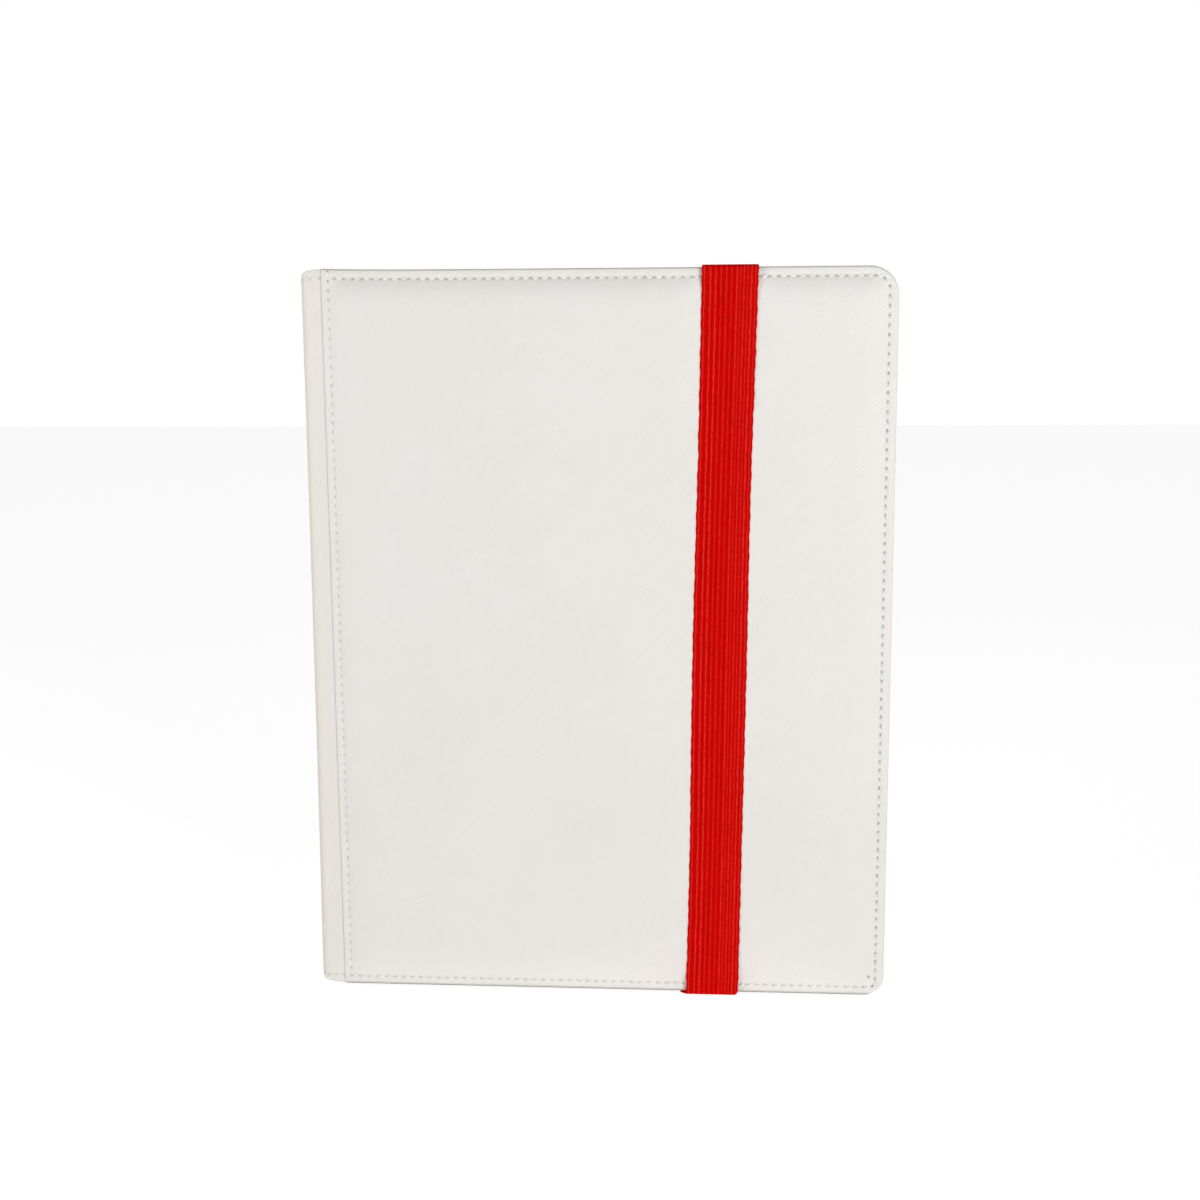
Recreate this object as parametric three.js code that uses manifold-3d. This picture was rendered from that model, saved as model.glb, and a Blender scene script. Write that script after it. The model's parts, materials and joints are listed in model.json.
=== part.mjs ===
// Trading card binder with fixed side-loading pocket leaves, as an assembly of its separate pieces.
//
// Units are millimetres and +Z is up. The closed binder stands on its lower edge: the front cover
// faces -Y, the spine is at -X and the fore-edge at +X. Every piece is first placed in the book's own
// frame: x from the spine's outer face, y from the middle of the page block, z from the covers' lower
// edge. One group then moves the book so that its box stands centred on the origin.

import * as THREE from 'three';
import { mergeVertices } from 'three/addons/utils/BufferGeometryUtils.js';
import Module from 'manifold-3d';

// ---- Driving dimensions: the leaves -------------------------------------------------------------

const LEAF_COUNT = 12;
const POCKET_COLUMNS = 3;
const POCKET_ROWS = 3;
const POCKET_WIDTH = 71;          // takes a sleeved card, 66 wide
const POCKET_HEIGHT = 98;         // takes a sleeved card, 91 high
const WELD_WIDTH = 5;             // welded lines between and around the pockets
const GUTTER_WIDTH = 13;          // plain strip between a leaf's fold line and its first weld
const CORE_THICKNESS = 0.3;       // black backing sheet
const FILM_THICKNESS = 0.15;      // clear pocket sheet
const POCKET_GAP = 0.45;          // room for a card between film and core
const LEAF_GAP = 0.45;            // air between one leaf's film and the next leaf's
const CORE_START = 0.5;           // the core starts this far from its fold line
const LEAF_FOLD_GAP = 1;          // bare fold between the binding block and the leaves' fold lines

// ---- Driving dimensions: the covers and the spine -----------------------------------------------

const COVER_OVERHANG = 13;        // covers stand past the leaves at the head and the tail
const FORE_OVERHANG = 13.46;      // covers stand past the leaves at the fore-edge
const CORNER_RADIUS = 13;         // cover corners at the fore-edge
const SKIN_THICKNESS = 0.8;       // leatherette
const FOAM_THICKNESS = 2;
const BOARD_THICKNESS = 2;
const LINING_THICKNESS = 0.6;
const GLUE_GAP = 0.08;            // glue line between stacked layers
const EDGE_FIT = 0.1;             // play between a layer's edge and the turned edge of the skin
const COVER_PLAY = 0.5;           // air between the page block and each cover

const SPINE_REVEAL = 10.4;        // spine leather that shows beside each cover panel
const PANEL_STEP = 0.8;           // the cover panel stands this far above the spine leather
const SPINE_TRIM = 3.2;           // the spine stops this far inside the covers at head and tail
const SPINE_BOARD_TRIM = 0.5;     // its board and lining stop this far inside its leather
const SPINE_CORNER_RADIUS = 3.4;  // outer edges of the spine leather
const SPINE_BOARD_THICKNESS = 1.6;
const SPINE_LINING_THICKNESS = 0.4;
const HINGE_INSET = 4.5;          // fold line, from the spine's outer face
const HINGE_GAP = 1.4;            // leather that bends, between the spine's flange and the cover's strip
const STRIP_FIT = 0.1;            // play between the hinge strip and the panel beside it
const BINDING_DEPTH = 6.4;        // sewn block that holds the leaves' inner edges

// ---- Driving dimensions: the elastic band -------------------------------------------------------

const BAND_WIDTH = 24.2;
const BAND_THICKNESS = 1.3;
const BAND_GAP = 0.15;            // between the band and the covers' faces and edges
const BAND_INSET = 77.85;         // band's centre line from the fore-edge, at mid height
const BAND_LEAN = THREE.MathUtils.degToRad(1.2);   // its top leans towards the fore-edge
const TAIL_LENGTH = 28;           // each end, sewn in behind the back cover's lining
const CHANNEL_PLAY = 0.5;         // each side of a tail

// ---- Sizes worked out from the driving dimensions -----------------------------------------------

const LEAF_HEIGHT = POCKET_ROWS * POCKET_HEIGHT + (POCKET_ROWS + 1) * WELD_WIDTH;
const FILM_WIDTH = POCKET_COLUMNS * POCKET_WIDTH + (POCKET_COLUMNS + 1) * WELD_WIDTH;
const LEAF_WIDTH = GUTTER_WIDTH + FILM_WIDTH;
const LEAF_PITCH = CORE_THICKNESS + 2 * (POCKET_GAP + FILM_THICKNESS) + LEAF_GAP;
const LEAF_TOP = COVER_OVERHANG + LEAF_HEIGHT;
const BLOCK_HALF = LEAF_COUNT * LEAF_PITCH / 2;

const LAYERS_THICKNESS = SKIN_THICKNESS + FOAM_THICKNESS + BOARD_THICKNESS + LINING_THICKNESS;
const COVER_THICKNESS = LAYERS_THICKNESS + 3 * GLUE_GAP;
const COVER_HEIGHT = LEAF_HEIGHT + 2 * COVER_OVERHANG;
const COVER_INNER = BLOCK_HALF + COVER_PLAY;
const COVER_OUTER = COVER_INNER + COVER_THICKNESS;

const STRIP_OUTER = COVER_OUTER - PANEL_STEP;
const STRIP_INNER = STRIP_OUTER - SKIN_THICKNESS;
const FLANGE_END = HINGE_INSET - HINGE_GAP / 2;
const STRIP_START = HINGE_INSET + HINGE_GAP / 2;
const SPINE_RADIUS = Math.min(SPINE_CORNER_RADIUS, FLANGE_END);   // no more than the flange is wide

const SPINE_BOARD_X = SKIN_THICKNESS + GLUE_GAP;
const SPINE_LINING_X = SPINE_BOARD_X + SPINE_BOARD_THICKNESS + GLUE_GAP;
const BINDING_X = SPINE_LINING_X + SPINE_LINING_THICKNESS + GLUE_GAP;
const LEAF_FOLD_X = BINDING_X + BINDING_DEPTH + LEAF_FOLD_GAP;
const FORE_EDGE = LEAF_FOLD_X + LEAF_WIDTH + FORE_OVERHANG;

const BAND_STAND = BAND_GAP + BAND_THICKNESS;
const TAIL_INNER = COVER_INNER + LINING_THICKNESS + GLUE_GAP;
const TAIL_OUTER = TAIL_INNER + BAND_THICKNESS;

const CORNER_STEPS = 10;          // straight steps in a round corner
const PAST = 1;                   // how far a cutting solid reaches past what it cuts

// ---- Finishes -----------------------------------------------------------------------------------

const FINISHES = {
  skin: { color: 0xe9e5e1, roughness: 0.55 },
  foam: { color: 0xf2efe4, roughness: 0.95 },
  board: { color: 0x8f8a80, roughness: 0.9 },
  lining: { color: 0x1d1d1f, roughness: 0.95 },
  core: { color: 0x111113, roughness: 0.6 },
  film: { color: 0xe6ecf0, roughness: 0.15, transparent: true, opacity: 0.3 },
  elastic: { color: 0xc40f0b, roughness: 0.85 },
  thread: { color: 0xf4f2ee, roughness: 0.8 },
};

// ---- Helpers ------------------------------------------------------------------------------------

const wasm = await Module();
wasm.setup();

/** A closed three.js geometry as a solid that can be cut. */
function toSolid(geometry) {
  const bare = geometry.clone();
  bare.deleteAttribute('normal');
  bare.deleteAttribute('uv');
  const merged = mergeVertices(bare, 1e-5);
  return new wasm.Manifold(new wasm.Mesh({
    numProp: 3,
    vertProperties: new Float32Array(merged.attributes.position.array),
    triVerts: new Uint32Array(merged.index.array),
  }));
}

/** The first geometry with the others cut away. */
function cut(geometry, ...tools) {
  let solid = toSolid(geometry);
  for (const tool of tools) {
    solid = solid.subtract(toSolid(tool));
  }
  const mesh = solid.getMesh();
  const result = new THREE.BufferGeometry();
  result.setAttribute('position', new THREE.BufferAttribute(new Float32Array(mesh.vertProperties), 3));
  result.setIndex(new THREE.BufferAttribute(new Uint32Array(mesh.triVerts), 1));
  result.computeVertexNormals();
  return result;
}

/** A box between two corners. */
function boxBetween(low, high) {
  const size = new THREE.Vector3().subVectors(high, low);
  const middle = new THREE.Vector3().addVectors(low, high).multiplyScalar(0.5);
  return new THREE.BoxGeometry(size.x, size.y, size.z).translate(middle.x, middle.y, middle.z);
}

/** An outline in x and z, given thickness along y between the two given places. */
function slab(outline, yOne, yTwo) {
  const low = Math.min(yOne, yTwo);
  const high = Math.max(yOne, yTwo);
  const options = { depth: high - low, bevelEnabled: false, curveSegments: CORNER_STEPS };
  return new THREE.ExtrudeGeometry(outline, options).rotateX(Math.PI / 2).translate(0, high, 0);
}

/** Leans a geometry with the band: x shifts in proportion to the height above mid height. */
function leanWithBand(geometry) {
  const slope = Math.tan(BAND_LEAN);
  const shear = new THREE.Matrix4().set(
    1, 0, slope, -slope * COVER_HEIGHT / 2,
    0, 1, 0, 0,
    0, 0, 1, 0,
    0, 0, 0, 1,
  );
  return geometry.applyMatrix4(shear);
}

/** One named piece in its finish. */
function piece(name, geometry, finishName) {
  const mesh = new THREE.Mesh(geometry, new THREE.MeshStandardMaterial(FINISHES[finishName]));
  mesh.name = name;
  return mesh;
}

// ---- Covers -------------------------------------------------------------------------------------

/** A cover's outline in x and z, square at the spine and rounded at the fore-edge. */
function coverOutline(inset) {
  const radius = CORNER_RADIUS - inset;
  const left = SPINE_REVEAL + inset;
  const right = FORE_EDGE - inset;
  const low = inset;
  const high = COVER_HEIGHT - inset;
  const outline = new THREE.Shape();
  outline.moveTo(left, low);
  outline.lineTo(right - radius, low);
  outline.absarc(right - radius, low + radius, radius, -Math.PI / 2, 0);
  outline.lineTo(right, high - radius);
  outline.absarc(right - radius, high - radius, radius, 0, Math.PI / 2);
  outline.lineTo(left, high);
  outline.closePath();
  return outline;
}

/** The two channels, at head and tail, that the band's sewn-in ends lie in. */
function tailChannels() {
  const centre = FORE_EDGE - BAND_INSET;
  const half = BAND_WIDTH / 2 + CHANNEL_PLAY;
  const depth = TAIL_LENGTH + CHANNEL_PLAY;
  const yLow = COVER_INNER - PAST;
  const yHigh = TAIL_OUTER + GLUE_GAP;
  const spans = [[-PAST, depth], [COVER_HEIGHT - depth, COVER_HEIGHT + PAST]];
  return spans.map(([zLow, zHigh]) => leanWithBand(boxBetween(
    new THREE.Vector3(centre - half, yLow, zLow),
    new THREE.Vector3(centre + half, yHigh, zHigh),
  )));
}

/** The leather of one cover: a face with its edges turned round the padding and the board. */
function coverSkin(side) {
  const outer = side * COVER_OUTER;
  const body = slab(coverOutline(0), outer, side * COVER_INNER);
  const hollow = slab(
    coverOutline(SKIN_THICKNESS),
    side * (COVER_OUTER - SKIN_THICKNESS),
    side * (COVER_INNER - PAST),
  );
  return cut(body, hollow);
}

/** One flat layer inside a cover, at a depth below the cover's outer face. */
function coverLayer(side, depth, thickness) {
  const outline = coverOutline(SKIN_THICKNESS + EDGE_FIT);
  return slab(outline, side * (COVER_OUTER - depth), side * (COVER_OUTER - depth - thickness));
}

/** The leather tongue beside a cover panel, from the fold line to the panel's seam. */
function hingeStrip(side) {
  const yOne = side * STRIP_OUTER;
  const yTwo = side * STRIP_INNER;
  return boxBetween(
    new THREE.Vector3(STRIP_START, Math.min(yOne, yTwo), SPINE_TRIM),
    new THREE.Vector3(SPINE_REVEAL - STRIP_FIT, Math.max(yOne, yTwo), COVER_HEIGHT - SPINE_TRIM),
  );
}

/** All the pieces of one cover; side is -1 for the front and 1 for the back. */
function cover(label, side, channels) {
  const foamDepth = SKIN_THICKNESS + GLUE_GAP;
  const boardDepth = foamDepth + FOAM_THICKNESS + GLUE_GAP;
  const liningDepth = boardDepth + BOARD_THICKNESS + GLUE_GAP;
  const skin = coverSkin(side);
  const board = coverLayer(side, boardDepth, BOARD_THICKNESS);
  const hasChannels = channels.length > 0;
  return [
    piece(`${label}_skin`, hasChannels ? cut(skin, ...channels) : skin, 'skin'),
    piece(`${label}_foam`, coverLayer(side, foamDepth, FOAM_THICKNESS), 'foam'),
    piece(`${label}_board`, hasChannels ? cut(board, ...channels) : board, 'board'),
    piece(`${label}_lining`, coverLayer(side, liningDepth, LINING_THICKNESS), 'lining'),
    piece(`${label}_hinge_strip`, hingeStrip(side), 'skin'),
  ];
}

// ---- Spine --------------------------------------------------------------------------------------

/** Spine leather: a channel section with round corners, open towards the leaves. */
function spineSkin() {
  const radius = SPINE_RADIUS;
  const inside = radius - SKIN_THICKNESS;
  const straight = STRIP_OUTER - radius;
  const section = new THREE.Shape();
  section.moveTo(FLANGE_END, STRIP_OUTER);
  section.lineTo(radius, STRIP_OUTER);
  section.absarc(radius, straight, radius, Math.PI / 2, Math.PI);
  section.lineTo(0, -straight);
  section.absarc(radius, -straight, radius, Math.PI, 1.5 * Math.PI);
  section.lineTo(FLANGE_END, -STRIP_OUTER);
  section.lineTo(FLANGE_END, -STRIP_INNER);
  section.lineTo(radius, -STRIP_INNER);
  section.absarc(radius, -straight, inside, 1.5 * Math.PI, Math.PI, true);
  section.lineTo(SKIN_THICKNESS, straight);
  section.absarc(radius, straight, inside, Math.PI, Math.PI / 2, true);
  section.lineTo(FLANGE_END, STRIP_INNER);
  section.closePath();
  const depth = COVER_HEIGHT - 2 * SPINE_TRIM;
  const options = { depth, bevelEnabled: false, curveSegments: CORNER_STEPS };
  return new THREE.ExtrudeGeometry(section, options).translate(0, 0, SPINE_TRIM);
}

/** A flat layer of the spine, centred on the page block. */
function spineLayer(xStart, thickness, halfWidth, endInset) {
  return boxBetween(
    new THREE.Vector3(xStart, -halfWidth, endInset),
    new THREE.Vector3(xStart + thickness, halfWidth, COVER_HEIGHT - endInset),
  );
}

/** The spine's pieces, with the sewn block that holds the leaves. */
function spine() {
  const boardHalf = STRIP_OUTER - SPINE_RADIUS;
  const board = spineLayer(SPINE_BOARD_X, SPINE_BOARD_THICKNESS, boardHalf, SPINE_TRIM + SPINE_BOARD_TRIM);
  const lining = spineLayer(SPINE_LINING_X, SPINE_LINING_THICKNESS, BLOCK_HALF, SPINE_TRIM + SPINE_BOARD_TRIM);
  const block = spineLayer(BINDING_X, BINDING_DEPTH, BLOCK_HALF, COVER_OVERHANG);
  return [
    piece('spine_skin', spineSkin(), 'skin'),
    piece('spine_board', board, 'board'),
    piece('spine_lining', lining, 'lining'),
    piece('page_binding_block', block, 'thread'),
  ];
}

// ---- Leaves -------------------------------------------------------------------------------------

/** One flat sheet of a leaf between two x values and two y values, as high as the leaf. */
function sheet(xStart, xEnd, yStart, thickness) {
  return boxBetween(
    new THREE.Vector3(xStart, yStart, COVER_OVERHANG),
    new THREE.Vector3(xEnd, yStart + thickness, LEAF_TOP),
  );
}

/** One leaf: the black core with a clear pocket sheet on each face. */
function leaf(index) {
  const label = `leaf_${String(index + 1).padStart(2, '0')}`;
  const middle = (index - (LEAF_COUNT - 1) / 2) * LEAF_PITCH;
  const coreHalf = CORE_THICKNESS / 2;
  const leafEnd = LEAF_FOLD_X + LEAF_WIDTH;
  const filmStart = LEAF_FOLD_X + GUTTER_WIDTH;
  const filmOffset = coreHalf + POCKET_GAP;
  const core = sheet(LEAF_FOLD_X + CORE_START, leafEnd, middle - coreHalf, CORE_THICKNESS);
  const frontStart = middle - filmOffset - FILM_THICKNESS;
  return [
    piece(`${label}_core`, core, 'core'),
    piece(`${label}_front_film`, sheet(filmStart, leafEnd, frontStart, FILM_THICKNESS), 'film'),
    piece(`${label}_back_film`, sheet(filmStart, leafEnd, middle + filmOffset, FILM_THICKNESS), 'film'),
  ];
}

// ---- Elastic band -------------------------------------------------------------------------------

/** The band round the closed book: square inside at each edge, rounded outside, with its two tails. */
function elasticBand() {
  const front = -COVER_OUTER - BAND_GAP;
  const head = COVER_HEIGHT + BAND_GAP;
  const tail = -BAND_GAP;
  const turn = BAND_THICKNESS;
  const section = new THREE.Shape();
  section.moveTo(TAIL_OUTER, COVER_HEIGHT - TAIL_LENGTH);
  section.lineTo(TAIL_OUTER, head);
  section.absarc(TAIL_OUTER - turn, head, turn, 0, Math.PI / 2);
  section.lineTo(front, head + turn);
  section.absarc(front, head, turn, Math.PI / 2, Math.PI);
  section.lineTo(front - turn, tail);
  section.absarc(front, tail, turn, Math.PI, 1.5 * Math.PI);
  section.lineTo(TAIL_OUTER - turn, tail - turn);
  section.absarc(TAIL_OUTER - turn, tail, turn, 1.5 * Math.PI, 2 * Math.PI);
  section.lineTo(TAIL_OUTER, TAIL_LENGTH);
  section.lineTo(TAIL_INNER, TAIL_LENGTH);
  section.lineTo(TAIL_INNER, tail);
  section.lineTo(front, tail);
  section.lineTo(front, head);
  section.lineTo(TAIL_INNER, head);
  section.lineTo(TAIL_INNER, COVER_HEIGHT - TAIL_LENGTH);
  section.closePath();
  const options = { depth: BAND_WIDTH, bevelEnabled: false, curveSegments: CORNER_STEPS };
  const along = new THREE.Matrix4().makeBasis(
    new THREE.Vector3(0, 1, 0),
    new THREE.Vector3(0, 0, 1),
    new THREE.Vector3(1, 0, 0),
  );
  const strap = new THREE.ExtrudeGeometry(section, options).applyMatrix4(along);
  strap.translate(FORE_EDGE - BAND_INSET - BAND_WIDTH / 2, 0, 0);
  return piece('elastic_band', leanWithBand(strap), 'elastic');
}

// ---- The whole binder ---------------------------------------------------------------------------

const binder = new THREE.Group();
binder.add(...cover('front_cover', -1, []));
binder.add(...cover('back_cover', 1, tailChannels()));
binder.add(...spine());
for (let index = 0; index < LEAF_COUNT; index += 1) {
  binder.add(...leaf(index));
}
binder.add(elasticBand());
binder.position.set(-FORE_EDGE / 2, BAND_STAND / 2, BAND_STAND);

export default binder;
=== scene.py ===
"""The visible surfaces of a trading card binder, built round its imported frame.

Every length below is in metres. The binder stands closed on its lower edge: the front cover faces -Y,
the spine is at -X and the fore-edge at +X.
"""

import json
import logging
import math
from dataclasses import dataclass, field, replace
from enum import Enum
from typing import Sequence

import bmesh
import bpy
import numpy as np
from mathutils import Matrix, Vector

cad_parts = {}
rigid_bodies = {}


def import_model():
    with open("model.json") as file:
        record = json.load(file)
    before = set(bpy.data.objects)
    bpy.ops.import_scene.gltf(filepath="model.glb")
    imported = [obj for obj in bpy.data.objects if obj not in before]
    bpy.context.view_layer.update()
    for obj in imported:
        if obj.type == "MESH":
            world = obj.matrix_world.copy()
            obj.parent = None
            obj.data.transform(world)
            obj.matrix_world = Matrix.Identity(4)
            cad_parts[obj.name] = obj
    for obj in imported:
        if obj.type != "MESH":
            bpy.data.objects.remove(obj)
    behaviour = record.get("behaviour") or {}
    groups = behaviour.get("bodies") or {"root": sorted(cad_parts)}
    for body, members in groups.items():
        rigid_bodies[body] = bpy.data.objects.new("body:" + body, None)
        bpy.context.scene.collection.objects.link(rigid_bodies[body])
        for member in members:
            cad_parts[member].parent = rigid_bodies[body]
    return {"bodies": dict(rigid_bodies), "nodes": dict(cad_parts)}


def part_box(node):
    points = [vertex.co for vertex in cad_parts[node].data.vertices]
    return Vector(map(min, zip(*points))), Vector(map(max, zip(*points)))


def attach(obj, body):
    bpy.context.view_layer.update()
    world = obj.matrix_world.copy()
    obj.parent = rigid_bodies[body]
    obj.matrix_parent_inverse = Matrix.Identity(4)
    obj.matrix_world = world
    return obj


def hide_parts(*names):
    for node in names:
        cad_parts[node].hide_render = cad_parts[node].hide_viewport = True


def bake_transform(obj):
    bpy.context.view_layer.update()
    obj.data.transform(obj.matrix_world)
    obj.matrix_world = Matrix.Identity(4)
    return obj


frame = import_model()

MM = 0.001
LOG = logging.getLogger("binder")
Colour = tuple[float, float, float]
Spot = tuple[float, float, float]
Points = np.ndarray


# ---- Surfaces ---------------------------------------------------------------------------------------


def grid_quads(rows: int, columns: int, closed: bool = False) -> np.ndarray:
    """Quads of a grid whose points are numbered row by row.

    Args:
        rows: Number of rows of points.
        columns: Number of points in a row.
        closed: Whether the last column joins the first.

    Returns:
        Four point numbers for each quad.
    """
    span = columns if closed else columns - 1
    row = np.arange(rows - 1)[:, None] * columns
    here = np.arange(span)[None, :]
    beside = (here + 1) % columns
    corners = (row + here, row + beside, row + columns + beside, row + columns + here)
    return np.stack(np.broadcast_arrays(*corners), axis=-1).reshape(-1, 4)


def tube_faces(rows: int, columns: int) -> list[list[int]]:
    """The quads round a tube whose rings are the rows of a grid, and a face on each of its two ends."""
    ends = [list(range(columns)), list(range((rows - 1) * columns, rows * columns))]
    return grid_quads(rows, columns, closed=True).tolist() + ends


def make_piece(
    name: str,
    points: Points,
    faces: list[list[int]],
    material: bpy.types.Material,
    marks: dict[str, np.ndarray] | None = None,
    uv: np.ndarray | None = None,
) -> bpy.types.Object:
    """Turns points and faces into a smooth, welded object whose faces point outwards.

    Args:
        name: The piece's name.
        points: Points in the row frame, of any shape that ends in three.
        faces: Point numbers of each face.
        material: The piece's finish.
        marks: Values for each point, by attribute name.
        uv: Two surface coordinates for each point, in metres.

    Returns:
        The new object, at the origin.
    """
    mesh = bpy.data.meshes.new(name)
    mesh.from_pydata(points.reshape(-1, 3).tolist(), [], faces)
    for key, values in (marks or {}).items():
        mark = mesh.attributes.new(key, "FLOAT", "POINT")
        mark.data.foreach_set("value", np.ascontiguousarray(values, np.float32).ravel())
    if uv is not None:
        corner_points = np.empty(len(mesh.loops), np.int32)
        mesh.loops.foreach_get("vertex_index", corner_points)
        layer = mesh.uv_layers.new(name="Surface")
        layer.data.foreach_set("uv", uv.reshape(-1, 2)[corner_points].astype(np.float32).ravel())
    shape = bmesh.new()
    shape.from_mesh(mesh)
    bmesh.ops.remove_doubles(shape, verts=shape.verts, dist=0.002 * MM)
    bmesh.ops.recalc_face_normals(shape, faces=shape.faces)
    shape.to_mesh(mesh)
    shape.free()
    mesh.polygons.foreach_set("use_smooth", np.ones(len(mesh.polygons), bool))
    mesh.materials.append(material)
    piece = bpy.data.objects.new(name, mesh)
    bpy.context.scene.collection.objects.link(piece)
    return piece


def rounded_path(corners: Sequence[tuple[float, float]], radii: Sequence[float], step: float) -> Points:
    """A line through corners in a plane, with an arc in place of each inner corner.

    Each straight is cut into equal steps, and each arc is the circle that touches both of its straights.

    Args:
        corners: The corners in order, the first and last being the line's ends.
        radii: One radius for each inner corner.
        step: The longest distance between neighbouring points.

    Returns:
        Points along the line.
    """
    stops = [np.array(corner, float) for corner in corners]
    parts = []
    start = stops[0]
    for corner, after, radius in zip(stops[1:-1], stops[2:], radii):
        inward = (start - corner) / np.linalg.norm(start - corner)
        onward = (after - corner) / np.linalg.norm(after - corner)
        half = math.acos(float(np.clip(inward @ onward, -1, 1))) / 2
        reach = radius / math.tan(half)
        begin, end = corner + inward * reach, corner + onward * reach
        middle = corner + (inward + onward) / np.linalg.norm(inward + onward) * radius / math.sin(half)
        parts.append(straight_points(start, begin, step))
        sweep = math.pi - 2 * half
        share = np.linspace(0, 1, max(6, math.ceil(radius * sweep / step)) + 1)[:-1, None]
        spoke_in, spoke_out = begin - middle, end - middle
        weights = np.sin((1 - share) * sweep), np.sin(share * sweep)
        parts.append(middle + (weights[0] * spoke_in + weights[1] * spoke_out) / math.sin(sweep))
        start = end
    parts.append(straight_points(start, stops[-1], step))
    parts.append(stops[-1][None, :])
    return np.concatenate(parts)


def straight_points(start: np.ndarray, end: np.ndarray, step: float) -> Points:
    """Equal steps from start up to, but without, end."""
    count = max(1, math.ceil(float(np.linalg.norm(end - start)) / step))
    share = (np.arange(count) / count)[:, None]
    return start + (end - start) * share


def path_frame(path: Points) -> tuple[np.ndarray, np.ndarray]:
    """Distance along a plane path, and the direction a quarter turn to the left of the path's own."""
    steps = np.linalg.norm(np.diff(path, axis=0), axis=1)
    distance = np.concatenate([[0.0], np.cumsum(steps)])
    along = np.gradient(path, distance, axis=0)
    along /= np.linalg.norm(along, axis=1, keepdims=True)
    left = np.stack([-along[:, 1], along[:, 0]], axis=1)
    return distance, left


def smooth_step(value: np.ndarray, low: float, high: float) -> np.ndarray:
    """0 up to low, 1 from high, and an S-shaped rise between them."""
    share = np.clip((value - low) / (high - low), 0, 1)
    return share * share * (3 - 2 * share)


def bell(value: np.ndarray, width: float) -> np.ndarray:
    """A bell curve of height 1 about zero, e to the power of minus the square of value over width."""
    return np.exp(-((value / width) ** 2))


# ---- Shader node groups -----------------------------------------------------------------------------


class Tree:
    """Adds and links the nodes of one shader tree."""

    def __init__(self, tree: bpy.types.NodeTree) -> None:
        """Starts on an empty tree."""
        self.tree = tree
        self.column = 0
        tree.nodes.clear()

    def add(self, kind: str, inputs: dict | None = None, **settings: object) -> bpy.types.Node:
        """Adds a node.

        Args:
            kind: The node's type, without the leading "ShaderNode".
            inputs: A value or an output socket for each input, by name or number.
            settings: The node's own properties.

        Returns:
            The node.
        """
        prefix = "" if kind.startswith("Node") else "ShaderNode"
        node = self.tree.nodes.new(prefix + kind)
        self.column += 1
        node.location = (180 * self.column, -60 * (self.column % 4))
        for key, value in settings.items():
            setattr(node, key, value)
        for key, value in (inputs or {}).items():
            socket = node.inputs[key]
            if isinstance(value, bpy.types.NodeSocket):
                self.tree.links.new(value, socket)
            else:
                socket.default_value = value
        return node

    def math(self, operation: str, first: object, second: object = 0.0) -> bpy.types.NodeSocket:
        """The result of one sum on two values or sockets."""
        return self.add("Math", {0: first, 1: second}, operation=operation).outputs[0]

    def mix(self, factor: object, first: object, second: object, blend: str = "MIX") -> bpy.types.NodeSocket:
        """A colour between two colours or sockets."""
        node = self.add("Mix", data_type="RGBA", blend_type=blend)
        for socket, value in zip((node.inputs[0], node.inputs[6], node.inputs[7]), (factor, first, second)):
            if isinstance(value, bpy.types.NodeSocket):
                self.tree.links.new(value, socket)
            else:
                socket.default_value = value
        return node.outputs[2]

    def remap(
        self, value: object, low: float, high: float, to_low: float, to_high: float
    ) -> bpy.types.NodeSocket:
        """A value moved from one range to another, and held inside it."""
        inputs = {0: value, 1: low, 2: high, 3: to_low, 4: to_high}
        return self.add("MapRange", inputs).outputs[0]


def rgba(colour: Colour) -> tuple[float, float, float, float]:
    """A colour with full cover."""
    return (*colour, 1.0)


def new_group(
    name: str, inputs: dict[str, str], outputs: dict[str, str]
) -> tuple[Tree, dict, bpy.types.Node]:
    """An empty node group.

    Args:
        name: The group's name.
        inputs: Socket type of each input, by name.
        outputs: Socket type of each output, by name.

    Returns:
        The group's tree, its input sockets by name, and the node that takes its outputs.
    """
    group = bpy.data.node_groups.new(name, "ShaderNodeTree")
    for label, kind in inputs.items():
        group.interface.new_socket(name=label, in_out="INPUT", socket_type="NodeSocket" + kind)
    for label, kind in outputs.items():
        group.interface.new_socket(name=label, in_out="OUTPUT", socket_type="NodeSocket" + kind)
    tree = Tree(group)
    source = tree.add("NodeGroupInput")
    sink = tree.add("NodeGroupOutput")
    return tree, {label: source.outputs[label] for label in inputs}, sink


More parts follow.
